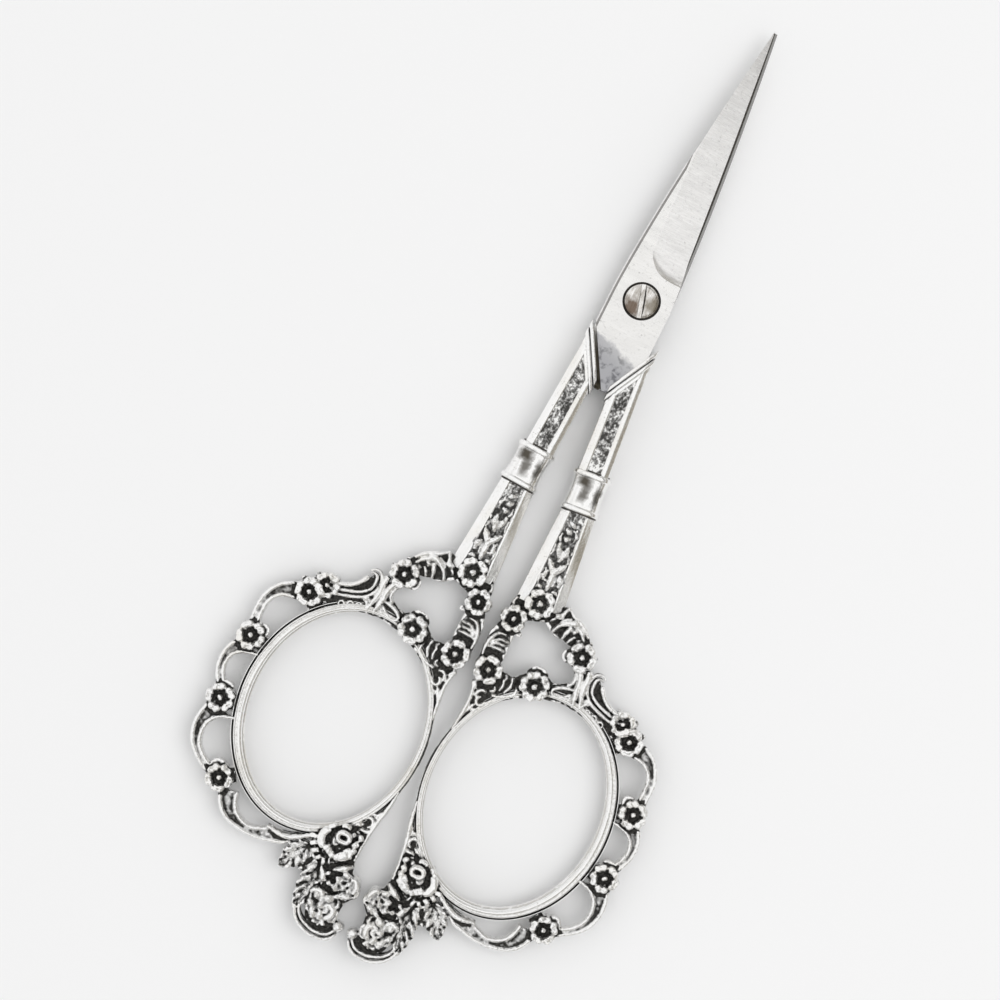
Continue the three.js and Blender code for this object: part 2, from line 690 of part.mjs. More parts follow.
function piece(name, made, material) {
  const mesh = made.getMesh();
  const geometry = new THREE.BufferGeometry();
  geometry.setAttribute("position", new THREE.BufferAttribute(mesh.vertProperties, 3));
  geometry.setIndex(new THREE.BufferAttribute(mesh.triVerts, 1));
  const whole = new THREE.Mesh(geometry, material);
  whole.name = name;
  return whole;
}

const steel = new THREE.MeshStandardMaterial({ color: 0xc9c8c6, metalness: 1, roughness: 0.32 });
const antiqueSilver = new THREE.MeshStandardMaterial({ color: 0xb4b2ae, metalness: 1, roughness: 0.36 });
const nickel = new THREE.MeshStandardMaterial({ color: 0xa39b8f, metalness: 1, roughness: 0.28 });

const handle = handleSolid();
const beyondBlade = 2 * outerFace;
const frontBlade = bladeSolid(bladeLean)
  .subtract(drum(shaftRadius + shaftGap, -beyondBlade, beyondBlade))
  .subtract(drum(headRadius + headGap, outerFace - headSeat, beyondBlade));
const rearBlade = bladeSolid(-bladeLean).subtract(
  drum(threadRadius + shaftGap, -beyondBlade, beyondBlade),
);

const rightHalf = new THREE.Group();
rightHalf.add(piece("front_blade", frontBlade, steel), piece("right_handle", handle, antiqueSilver));
const leftHalf = new THREE.Group();
leftHalf.add(piece("rear_blade", rearBlade, steel), piece("left_handle", handle, antiqueSilver));
leftHalf.rotation.y = Math.PI;

const closed = new THREE.Group();
closed.add(rightHalf, leftHalf, piece("pivot_screw", screwSolid(), nickel));

// The origin is under the middle of the scissors, on the surface that they lie on.
const extent = new THREE.Box3().setFromObject(closed);
closed.position.set(
  -(extent.min.x + extent.max.x) / 2,
  -(extent.min.y + extent.max.y) / 2,
  -extent.min.z,
);

const scissors = new THREE.Group();
scissors.add(closed);
export default scissors;
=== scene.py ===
import json
import math
from contextlib import contextmanager

import bpy
import numpy as np
from mathutils import Matrix, Vector


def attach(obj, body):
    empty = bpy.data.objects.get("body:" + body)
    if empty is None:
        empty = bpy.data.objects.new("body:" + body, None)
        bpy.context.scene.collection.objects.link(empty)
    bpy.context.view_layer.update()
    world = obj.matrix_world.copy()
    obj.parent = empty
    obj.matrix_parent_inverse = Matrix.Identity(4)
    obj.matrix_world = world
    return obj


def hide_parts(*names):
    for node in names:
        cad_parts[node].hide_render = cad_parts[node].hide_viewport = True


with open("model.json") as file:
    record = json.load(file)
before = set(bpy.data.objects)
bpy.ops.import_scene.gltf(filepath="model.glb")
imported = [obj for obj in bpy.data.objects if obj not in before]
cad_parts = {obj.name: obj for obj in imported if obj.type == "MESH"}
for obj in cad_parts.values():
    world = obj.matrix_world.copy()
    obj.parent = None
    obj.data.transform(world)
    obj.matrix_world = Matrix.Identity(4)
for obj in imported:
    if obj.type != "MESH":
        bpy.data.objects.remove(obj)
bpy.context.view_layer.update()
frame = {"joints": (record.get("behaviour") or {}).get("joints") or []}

# Embroidery scissors, lying closed. Each piece is drawn in millimetres in one half's own frame:
# x outwards from the line where the handles meet, y from the pivot towards the tips and z up from the
# plane between the blades. It is then set at the pivot, and turned over for the other half.
PIVOT = Vector(frame["joints"][0]["pos_m"])
MM = 0.001
TURNED_OVER = Matrix.Rotation(math.pi, 4, "Y")
REST = 2.52  # from the plane between the blades to the surface that the scissors lie on
X, Y, Z = range(3)


# ---------------------------------------------------------------- finishes

class Tone:
    """A socket of a finish, so that sums on it are written as Python."""

    def __init__(self, finish, socket):
        self.finish = finish
        self.socket = socket

    def sum(self, operation, first, second):
        return self.finish.node("ShaderNodeMath", {"operation": operation}, {0: first, 1: second})

    def __add__(self, other):
        return self.sum("ADD", self, other)

    __radd__ = __add__

    def __sub__(self, other):
        return self.sum("SUBTRACT", self, other)

    def __rsub__(self, other):
        return self.sum("SUBTRACT", other, self)

    def __mul__(self, other):
        return self.sum("MULTIPLY", self, other)

    __rmul__ = __mul__


class Finish:
    """A material and its nodes."""

    def __init__(self, name, owner=None):
        self.owner = owner or bpy.data.materials.new(name)
        self.owner.use_nodes = True
        self.tree = self.owner.node_tree
        self.shader = self.tree.nodes.get("Principled BSDF")

    def node(self, kind, settings=None, sockets=None, out=0):
        made = self.tree.nodes.new(kind)
        for name, value in (settings or {}).items():
            if name == "stops":
                while len(made.color_ramp.elements) < len(value):
                    made.color_ramp.elements.new(0.5)
                for element, (place, shade) in zip(made.color_ramp.elements, value):
                    element.position = place
                    element.color = (*shade, 1) if len(shade) == 3 else (shade[0],) * 3 + (1,)
            else:
                setattr(made, name, value)
        for key, value in (sockets or {}).items():
            self.connect(made.inputs[key], value)
        return Tone(self, made.outputs[out])

    def connect(self, socket, value):
        if isinstance(value, Tone):
            self.tree.links.new(value.socket, socket)
        else:
            socket.default_value = value

    def feed(self, **sockets):
        """Sets the shader's sockets, with _ for the spaces in their names."""
        for name, value in sockets.items():
            self.connect(self.shader.inputs[name.replace("_", " ")], value)

    def place(self, stretch=(1, 1, 1), turn=0.0):
        """Object coordinates, stretched along the axes."""
        where = self.node("ShaderNodeTexCoord", out="Object")
        return self.node(
            "ShaderNodeMapping", None,
            {"Vector": where, "Scale": stretch, "Rotation": (0, 0, turn)},
        )

    def axis(self, where, number):
        """Millimetres along x, y or z."""
        return self.node("ShaderNodeSeparateXYZ", None, {0: where}, out=number) * (1 / MM)

    def noise(self, where, size, detail=3.0, roughness=0.55):
        """Cloudy values around a half, with lumps of about that size in millimetres."""
        return self.node(
            "ShaderNodeTexNoise", None,
            {"Vector": where, "Scale": 1 / (size * MM), "Detail": detail, "Roughness": roughness},
        )

    def mark(self, name):
        """A value that is stored on the points of a casting."""
        return self.node("ShaderNodeAttribute", {"attribute_name": name}, out="Fac")

    def ramp(self, value, *stops):
        return self.node("ShaderNodeValToRGB", {"stops": stops}, {"Fac": value})

    def rise(self, value, low, high, most=1.0):
        """Nothing up to a low value, and the most from a high value on."""
        return self.ramp(value, (low, (0.0,)), (high, (most,)))

    def mix(self, share, first, second):
        return self.node(
            "ShaderNodeMix", {"data_type": "RGBA"}, {0: share, 6: first, 7: second}, out=2
        )

    def bump(self, height, depth):
        """Relief of that depth in millimetres."""
        return self.node(
            "ShaderNodeBump", None, {"Height": height, "Distance": depth * MM, "Strength": 1.0}
        )


def rgb(red, green, blue):
    return (red, green, blue, 1.0)


SILVER = rgb(0.955, 0.95, 0.94)
WARM_SILVER = rgb(0.86, 0.835, 0.775)
OXIDE = rgb(0.008, 0.0077, 0.007)
PALE_OXIDE = rgb(0.075, 0.072, 0.066)
PANEL_BLACK = rgb(0.02, 0.019, 0.018)
DULL_SILVER = rgb(0.34, 0.32, 0.28)
SPECK_GREY = rgb(0.42, 0.40, 0.37)
PAINTED_REFLECTION_BROWN = rgb(0.07, 0.06, 0.045)
PALE_STEEL = (0.95, 0.94, 0.92)
BRIGHT_STEEL = (1.0, 0.99, 0.975)
# darker copies of the pale steel, for painted shade on the chamfers along the blades' backs
PAINTED_SHADE_STEEL = (0.34, 0.33, 0.32)
PAINTED_GREY_SHADE_STEEL = (0.4, 0.395, 0.385)
LILAC = rgb(0.2, 0.2, 0.213), rgb(0.44, 0.44, 0.455)
BROWN = rgb(0.03, 0.026, 0.018), rgb(0.085, 0.075, 0.056)

# Painted brown reflections on a collar, to either side of its bright middle: from and to across it, from and
# to along the scissors, and strength
COLLAR_PAINTED_REFLECTIONS = [(-2.1, 0.4, 1.5, 3.3, 0.97), (-1.1, 0.4, -0.6, 2.4, 0.85), (0.75, 1.85, -0.5, 2.6, 0.85)]
COLLAR_ASIDE = 4.1  # from the line between the handles to a collar's middle
PANEL_DARKENS = -2.6  # where along the scissors the shank's panels start to darken
STAIN_LINE = 19.6  # where along the scissors the stain at the blades' root starts
STAIN_SLANT = 0.37


def antique_silver():
    """Polished silver plate with black oxide left in the hollows of the casting."""
    finish = Finish("antique_silver")
    where = finish.place()
    cloud = finish.noise(where, 0.7)
    fine = finish.noise(where, 0.25)
    crinkle = finish.noise(where, 0.42, 2.0, 0.5)
    depth = finish.mark("hollow") + finish.mark("ground") * 0.4 + cloud * 0.3 - 0.15
    oxide = finish.ramp(depth, (0.24, (0.0,)), (0.45, (0.6,)), (0.6, (1.0,)))
    warm = finish.rise(finish.noise(where, 5.0), 0.5, 0.75, 0.6)
    black = finish.ramp(fine, (0.35, OXIDE[:3]), (0.7, PALE_OXIDE[:3]))
    finish.feed(
        Base_Color=finish.mix(oxide, finish.mix(warm, SILVER, WARM_SILVER), black),
        Metallic=1 - oxide * 0.5, Roughness=fine * 0.14 + oxide * 0.3 + 0.12,
        Specular_IOR_Level=0.2, Normal=finish.bump(fine * 0.4 + crinkle, 0.12),
    )
    return finish.owner


def shank_panel():
    """The shank's flat panels: silver gone grey and mottled, with near-white flecks painted as mirrored
    highlights, and darker under the raised sprigs.
    """
    finish = Finish("shank_panel")
    where = finish.place((1, 0.8, 1))
    pits = finish.noise(where, 0.36, 4.0, 0.65)
    under = finish.rise((PANEL_DARKENS - finish.axis(finish.place(), Y)) * 0.4, 0.0, 1.0)
    mottle_and_painted_glints = pits + finish.noise(where, 2.2) * 0.5 - 0.25 + under * 0.06
    # the tone's near-white flecks are painted highlights; the grey and near-black are the mottled wear
    tone = finish.ramp(
        mottle_and_painted_glints, (0.37, (0.93, 0.925, 0.91)), (0.46, (0.36, 0.355, 0.345)), (0.58, (0.06, 0.058, 0.055))
    )
    finish.feed(
        Base_Color=finish.mix(under * 0.6, tone, PANEL_BLACK), Metallic=0.9,
        Roughness=pits * 0.1 + 0.24, Normal=finish.bump(pits, 0.07),
    )
    return finish.owner


def polished_silver(name, grooved=False, with_painted_reflections=False):
    """Bright plate. The rings are dull in their groove, with a dark line outside it, and the collars have
    brown reflections painted to either side of their bright middle."""
    finish = Finish(name)
    where = finish.place()
    hollow = finish.node(
        "ShaderNodeAmbientOcclusion", {"samples": 8, "only_local": True},
        {"Distance": (0.45 if grooved else 0.7) * MM}, out="AO",
    )
    ripple = finish.noise(where, 1.5)
    fine = finish.noise(where, 0.28, 4.0, 0.65)
    oxide = finish.ramp(hollow + fine * 0.3 - 0.15, (0.46, (1.0,)), (0.74, (0.0,)))
    specks = finish.rise(fine + ripple * 0.3 - 0.15, 0.6, 0.72, 0.5)
    warm = finish.rise(finish.noise(where, 6.0), 0.5, 0.75, 0.8)
    tone = finish.mix(specks, finish.mix(warm, SILVER, WARM_SILVER), SPECK_GREY)
    if grooved:
        dull = finish.rise(finish.mark("groove") + fine * 0.16 - 0.08, 0.005, 0.06, 0.45)
        line = finish.rise(finish.mark("line") + fine * 0.1 - 0.05, 0.1, 0.2, 0.95)
        tone = finish.mix(line, finish.mix(dull, tone, DULL_SILVER), OXIDE)
    # painted reflections: brown patches where a collar's curve would mirror darker surroundings
    if with_painted_reflections:
        side = finish.axis(where, X)
        aside = side - side.sum("SIGN", side, 0.0) * COLLAR_ASIDE
        across = aside + finish.noise(where, 0.8, 3.0, 0.6) - 0.5
        along = finish.axis(where, Y) + finish.noise(where, 1.1) - 0.5
        for left, right, low, high, most in COLLAR_PAINTED_REFLECTIONS:
            within = (right - across) * (across - left) * (4 / (right - left) ** 2)
            between = (high - along) * (along - low) * (4 / (high - low) ** 2)
            painted_reflection = finish.rise(within, 0.0, 0.95) * finish.rise(between, 0.0, 0.9, most)
            tone = finish.mix(painted_reflection, tone, PAINTED_REFLECTION_BROWN)
    finish.feed(
        Base_Color=finish.mix(oxide, tone, OXIDE), Metallic=1 - oxide * 0.4,
        Roughness=fine * 0.14 + oxide * 0.3 + 0.08, Normal=finish.bump(ripple * 0.6 + fine * 0.4, 0.06),
    )
    return finish.owner


def blade_steel(name, grinding, shade, stains):
    """Pale steel, ground across the blade, with fine pits and a stain at the root."""
    finish = Finish(name)
    where = finish.place()
    turn = math.radians(LEAN)
    lines = finish.noise(finish.place((0.16, 2.6, 1), turn), 0.55, 5.0, 0.7)
    broad = finish.noise(finish.place((0.35, 1.6, 1), turn), 2.2)
    speck = finish.noise(where, 0.35, 2.0)
    cloud = finish.noise(where, 1.1, 5.0, 0.65)
    tone = finish.ramp(
        lines * 0.7 * grinding + broad * 0.3 + 0.35 * (1 - grinding),
        (0.36, [0.78 * part for part in shade]), (0.64, shade),
    )
    pits = finish.rise(speck, 0.58, 0.76, 0.35)
    spots = finish.rise(finish.noise(where, 0.5, 0.0), 0.795, 0.83, 0.5)
    steel = finish.mix(pits + spots, tone, rgb(*[0.5 * part for part in shade]))
    ragged = cloud * 1.8 - 0.9
    below = STAIN_LINE - finish.axis(where, Y) - finish.axis(where, X) * STAIN_SLANT + ragged
    root = finish.ramp(below * 0.4, (0.1, (0.0,)), (0.3, (0.8,)), (1.0, (1.0,)))
    stain = finish.mix(finish.rise(cloud, 0.38, 0.5), *stains)
    finish.feed(
        Base_Color=finish.mix(root, steel, stain), Metallic=1.0,
        Roughness=lines * 0.14 * grinding + root * 0.15 + 0.22,
        Normal=finish.bump(lines * grinding + speck * 0.4, 0.02),
    )
    return finish.owner


def gap_shade_and_grime():
    """Painted shade with dark oil and dust: in the gap round the screw's head in its seat, on the slot's
    leaning wall, along the line where the front blade's edge rests, and at the collars' ends.
    """
    finish = Finish("gap_shade_and_grime")
    cloud = finish.noise(finish.place(), 0.5)
    finish.feed(
        Base_Color=finish.ramp(cloud, (0.3, (0.02, 0.018, 0.015)), (0.7, (0.07, 0.06, 0.05))),
        Roughness=cloud * 0.3 + 0.45, Normal=finish.bump(cloud, 0.05),
    )
    return finish.owner


def screw_nickel(name, tarnish_and_painted_reflections):
    """Warm nickel, polished along the slot, with brown patches to either side of it: tarnish with painted
    reflections.
    """
    finish = Finish(name)
    where = finish.place()
    cloud = finish.noise(where, 0.9)
    fine = finish.noise(where, 0.2)
    lines = finish.noise(finish.place((2.4, 0.25, 1), math.radians(-SLOT_TURN)), 0.5, 4.0, 0.6)

    def tarnish_and_painted_reflection(x, y, reach, most):
        middle = PIVOT + Vector((x, y, 1.8)) * MM
        away = finish.node(
            "ShaderNodeVectorMath", {"operation": "DISTANCE"}, {0: where, 1: middle}, out="Value"
        )
        ragged = cloud * 0.6 - 0.3
        return finish.ramp(away * (1 / (reach * MM)) + ragged, (0.4, (most,)), (1.1, (0.0,)))

    tone = finish.ramp(
        lines * 0.6 + cloud * 0.4,
        (0.36, (0.4, 0.37, 0.33)), (0.5, (0.78, 0.755, 0.72)), (0.6, (0.97, 0.96, 0.94)),
    )
    # brown tarnish together with painted reflections of darker surroundings on the dome
    if tarnish_and_painted_reflections:
        tone = finish.mix(tarnish_and_painted_reflection(-0.9, -1.2, 1.6, 0.9), tone, rgb(0.13, 0.085, 0.055))
        tone = finish.mix(tarnish_and_painted_reflection(-0.7, 1.1, 1.1, 0.5), tone, rgb(0.42, 0.39, 0.35))
        tone = finish.mix(tarnish_and_painted_reflection(1.6, 0.0, 1.5, 0.8), tone, rgb(0.2, 0.17, 0.12))
    finish.feed(
        Base_Color=tone, Metallic=1.0, Roughness=fine * 0.12 + 0.14,
        Normal=finish.bump(fine + lines, 0.012),
    )
    return finish.owner


# ---------------------------------------------------------------- tools for modelling

def deselect():
    if bpy.context.object and bpy.context.object.mode != "OBJECT":
        bpy.ops.object.mode_set(mode="OBJECT")
    bpy.ops.object.select_all(action="DESELECT")


def select(*pieces):
    deselect()
    for piece in pieces:
        piece.select_set(True)
    bpy.context.view_layer.objects.active = pieces[-1]


def added(primitive, **settings):
    """A new primitive."""
    deselect()
    primitive(**settings)
    return bpy.context.object


@contextmanager
def editing(piece, selected="SELECT"):
    """Edit mode, with all of a piece selected at first or nothing of it."""
    select(piece)
    bpy.ops.object.mode_set(mode="EDIT")
    bpy.ops.mesh.select_all(action=selected)
    yield
    bpy.ops.object.mode_set(mode="OBJECT")


def modify(piece, kind, **settings):
    """Adds a modifier to a piece and applies it."""
    modifier = piece.modifiers.new(kind.lower(), kind)
    for name, value in settings.items():
        setattr(modifier, name, value)
    select(piece)
    bpy.ops.object.modifier_apply(modifier=modifier.name)
    return piece


def joined(pieces):
    select(*pieces)
    bpy.ops.object.join()
    return bpy.context.object


def copied(piece):
    select(piece)
    bpy.ops.object.duplicate()
    return bpy.context.object


def dressed(piece, finishes, index):
    """Gives a piece its list of finishes and one of them to all its faces."""
    piece.data.materials.clear()
    for material in finishes:
        piece.data.materials.append(material)
    for face in piece.data.polygons:
        face.material_index = index
    return piece


def fused(piece, *others):
    """Unites closed pieces into one."""
    for other in others:
        modify(piece, "BOOLEAN", operation="UNION", solver="MANIFOLD", object=other)
        bpy.data.objects.remove(other)
    return piece


def carved(piece, *cutters):
    for cutter in cutters:
        modify(piece, "BOOLEAN", operation="DIFFERENCE", solver="MANIFOLD", object=cutter)
        bpy.data.objects.remove(cutter)
    return piece


def largest_part(piece):
    """Drops loose bits of a casting."""
    with editing(piece):
        bpy.ops.mesh.separate(type="LOOSE")
    parts = sorted(bpy.context.selected_objects, key=lambda part: len(part.data.vertices))
    for part in parts[:-1]:
        bpy.data.objects.remove(part)
    return parts[-1]


def outwards(piece):
    """Points the faces of a closed piece out."""
    with editing(piece):
        bpy.ops.mesh.normals_make_consistent(inside=False)
    return piece


def softened(piece, width, segments):
    """Rounds the sharp edges of a piece."""
    return modify(
        piece, "BEVEL", width=width, segments=segments, limit_method="ANGLE", angle_limit=math.radians(25)
    )


def levelled(piece):
    """Keeps a piece within the thickness of the scissors."""
    for vertex in piece.data.vertices:
        vertex.co.z = min(vertex.co.z, REST)
    return piece


def fuller(points, times):
    """Points of a ridge with wider half widths."""
    return [(x, y, half * times) for x, y, half in points]


def strand(points, lift=0.95, tall=1.8):
    """A rounded ridge of metal through points of x, y and half width. Its middle is lifted from the
    plane between the blades, and it is taller than wide by a factor."""
    shape = added(bpy.ops.curve.primitive_bezier_curve_add).data
    shape.dimensions = "3D"
    run = shape.splines[0].bezier_points
    run.add(len(points) - 2)
    for knot, (x, y, half) in zip(run, points):
        knot.co = (x, y, 0)
        knot.radius = half
        knot.handle_left_type = knot.handle_right_type = "AUTO"
    shape.bevel_depth = 1.0
    shape.bevel_resolution = 3
    shape.resolution_u = 5
    shape.use_fill_caps = True
    bpy.ops.object.convert(target="MESH")
    made = bpy.context.object
    for vertex in made.data.vertices:
        vertex.co.z = lift + vertex.co.z * tall
    return made


def twin_strands(points, gap):
    """Two ridges side by side with a groove between them."""
    made = []
    for side in (-1, 1):
        run = []
        for i, (x, y, half) in enumerate(points):
            before = points[max(i - 1, 0)]
            after = points[min(i + 1, len(points) - 1)]
            along = Vector((after[0] - before[0], after[1] - before[1])).normalized()
            shift = side * (half + gap / 2) / 2
            run.append((x - along.y * shift, y + along.x * shift, (half - gap / 2) / 2 + 0.06))
        made.append(strand(run))
    return made


def plate(outline, low, high):
    """A flat piece with that outline between two levels."""
    made = added(bpy.ops.mesh.primitive_circle_add, vertices=len(outline), fill_type="NGON")
    for vertex, (x, y) in zip(made.data.vertices, outline):
        vertex.co = (x, y, low)
    with editing(made):
        bpy.ops.mesh.extrude_region_move(TRANSFORM_OT_translate={"value": (0, 0, high - low)})
    return outwards(made)


def slab(rows, level):
    """A closed solid between a grid of points and a flat level."""
    across, along = len(rows[0]) - 1, len(rows) - 1
    made = added(bpy.ops.mesh.primitive_grid_add, x_subdivisions=across, y_subdivisions=along, size=2)
    for vertex in made.data.vertices:
        column = round((vertex.co.x + 1) / 2 * across)
        row = round((vertex.co.y + 1) / 2 * along)
        vertex.co = rows[row][column]
    with editing(made):
        bpy.ops.mesh.extrude_region_move(TRANSFORM_OT_translate={"value": (0, 0, level)})
        bpy.ops.transform.resize(value=(1, 1, 0), center_override=(0, 0, level))
    return outwards(made)


def turned(profile, sides):
    """A round piece about z from a profile of radius and height that starts and ends on the axis."""
    made = added(bpy.ops.mesh.primitive_plane_add)
    with editing(made):
        bpy.ops.mesh.delete(type="VERT")
    made.data.from_pydata(
        [(radius, 0, height) for radius, height in profile],
        [(i, i + 1) for i in range(len(profile) - 1)], [],
    )
    with editing(made):
        bpy.ops.mesh.spin(steps=sides, angle=2 * math.pi, center=(0, 0, 0), axis=(0, 0, 1))
        bpy.ops.mesh.select_all(action="SELECT")
        bpy.ops.mesh.remove_doubles(threshold=0.0005)
    return outwards(made)


def finished(piece, name, body, replaces, turn=False, materials=(), smooth=35):
    """Sets a piece at the pivot, in metres, and fixes it to its body."""
    place = Matrix.Translation(PIVOT) @ Matrix.Scale(MM, 4)
    if turn:
        place = place @ TURNED_OVER
    piece.data.transform(place)
    piece.name = name
    piece.data.name = name
    if materials:
        indices = [face.material_index for face in piece.data.polygons]
        dressed(piece, materials, 0)
        piece.data.polygons.foreach_set("material_index", indices)
    select(piece)
    bpy.ops.object.shade_smooth_by_angle(angle=math.radians(smooth))
    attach(piece, body)
    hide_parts(replaces)


# ---------------------------------------------------------------- blossoms

UNDER = -0.4  # how far the flowers and leaves reach below the plane between the blades
crumples = bpy.data.textures.new("crumples", "CLOUDS")
crumples.noise_scale = 0.42


def crumpled(piece, amount, texture=crumples):
    """Gives a piece the unevenness of a casting."""
    return modify(
        piece, "DISPLACE", texture=texture, texture_coords="LOCAL", strength=amount, mid_level=0.5
    )


def easing(share):
    share = min(max(share, 0.0), 1.0)
    return share * share * (3 - 2 * share)


def hump(place, middle, reach, power=2):
    """1 at a middle, falling to nothing around it."""
    return math.exp(-(((place - middle) / reach) ** power))


def flower(middle, radius, turn, relief):
    """The face of a flower with five petals, shaped from a ball: relief gives, for a place from the
    middle to the edge and across a petal from -1 to 1, the share of the radius where it lies and its
    height."""
    made = added(bpy.ops.mesh.primitive_uv_sphere_add, segments=90, ring_count=52, radius=1)
    for vertex in made.data.vertices:
        x, y, z = vertex.co
        angle = math.atan2(y, x)
        along = math.acos(max(-1, min(1, z))) / (math.pi / 2)
        across = (angle - math.radians(turn)) * 5 / (2 * math.pi) % 1 * 2 - 1
        edge, height = relief(min(along, 1.0), across)
        if along > 1.0001:
            edge, height = edge * (2 - along), UNDER
        reach = radius * edge
        vertex.co = (middle[0] + reach * math.cos(angle), middle[1] + reach * math.sin(angle), height)
    return made


def blossom_relief(top, floor):
    """Crinkled petals with a toothed inner edge around a sunken star and a round pistil."""
    pistil = 0.21

    def relief(along, across):
        wide = abs(across)
        tooth = math.cos(2 * math.pi * across)  # two teeth on each petal
        lobe = 1 - 0.22 * wide ** 4 - 0.07 * hump(across, 0, 0.16)
        star = 0.4 + 0.05 * tooth + 0.27 * wide ** 4
        crease = 0.42 * hump(wide, 1, 0.12)
        dent = 0.3 * hump(across, 0, 0.24) * hump(along, 0.82, 0.08)
        if along < pistil:
            height = floor + (top - floor) * math.sqrt(1 - (along / pistil) ** 4)
        elif along < star:
            height = floor
        else:
            height = floor + (top - crease - floor) * easing((along - star) / 0.2) - dent
        if along > 0.9:
            height -= top * 0.45 * ((along - 0.9) / 0.1) ** 3
        return lobe * along, height

    return relief


def spray_ground(along, across):
    """Low cupped petals around a raised middle, under the petals that stand out."""
    wide = abs(across)
    heart = 0.45
    gap = 0.5 * hump(wide, 1, 0.2)
    cup = 0.6 * hump(across, 0, 0.45) * hump(along, 0.72, 0.12)
    if along < heart:
        height = 1.0 + 0.5 * math.sin(math.pi * along / heart) ** 0.6
    else:
        height = 0.95 + (0.6 - gap) * math.sin(math.pi * min((along - heart) / 0.53, 1)) ** 0.4 - cup
    return along * (1 - 0.2 * wide ** 2.6), height


def rose_ground(along, _across):
    """The sunken round that the rose's petals stand on."""
    return along, 1.25 if along < 0.8 else 1.25 - 1.1 * ((along - 0.8) / 0.2) ** 2


# Petals of the rose as ridges of x, y and half width, with the height of their tops
ROSE_BUD = [(5.2 + 0.82 * math.cos(i), -77.5 + 0.58 * math.sin(i), 0.29) for i in range(8)]
ROSE_PETALS = [
    ([(7, -77.2, 0.3), (7.6, -77.75, 0.42), (7.75, -78.5, 0.46), (7.45, -79.3, 0.42), (7, -79.75, 0.3)],
     2.2),
    ([(6.15, -77.8, 0.2), (5.95, -78.5, 0.36), (5.5, -78.7, 0.24)], 2.1),
    ([(6.75, -79.9, 0.26), (6.55, -79.4, 0.3), (6.4, -78.95, 0.18)], 2.15),
    ([(6.3, -80.2, 0.26), (6.1, -79.8, 0.3), (6.05, -79.35, 0.16)], 2.1),
    ([(5.8, -80.45, 0.26), (5.6, -80.1, 0.3), (5.6, -79.65, 0.16)], 2.15),
    ([(5.25, -80.4, 0.26), (4.65, -79.95, 0.5), (4, -79.55, 0.54), (3.3, -79.2, 0.34)], 2.2),
    ([(4.55, -79.15, 0.2), (4.1, -78.85, 0.32), (3.8, -78.5, 0.2)], 2),
    ([(3.5, -79.05, 0.24), (3.4, -78.6, 0.36), (3.15, -78.25, 0.24)], 2.15),
    ([(3.85, -77.95, 0.2), (3.4, -77.7, 0.34), (3.05, -77.5, 0.26)], 2.1),
    ([(2.95, -77.1, 0.24), (3.2, -76.7, 0.32), (3.5, -76.45, 0.2)], 2),
    ([(4.4, -77, 0.2), (4.15, -76.75, 0.3), (4, -76.45, 0.18)], 2),
    ([(4.75, -76.3, 0.2), (5.4, -76.1, 0.3), (5.95, -76.3, 0.2)], 1.95),
    ([(6.55, -76.4, 0.18), (6.9, -76.7, 0.28), (7.4, -77, 0.2)], 1.95),
    ([(8.85, -78.6, 0.25), (8.75, -79.2, 0.38)], 1.7), ([(8.55, -79.5, 0.34), (8.25, -79.95, 0.38)], 1.75),
    ([(7.95, -80.25, 0.34), (7.6, -80.7, 0.4)], 1.75), ([(7.2, -80.95, 0.34), (6.85, -81.25, 0.4)], 1.75),
    ([(6.5, -81.4, 0.34), (6.05, -81.3, 0.4)], 1.75), ([(5.75, -81.05, 0.3), (5.55, -80.95, 0.36)], 1.7),
]

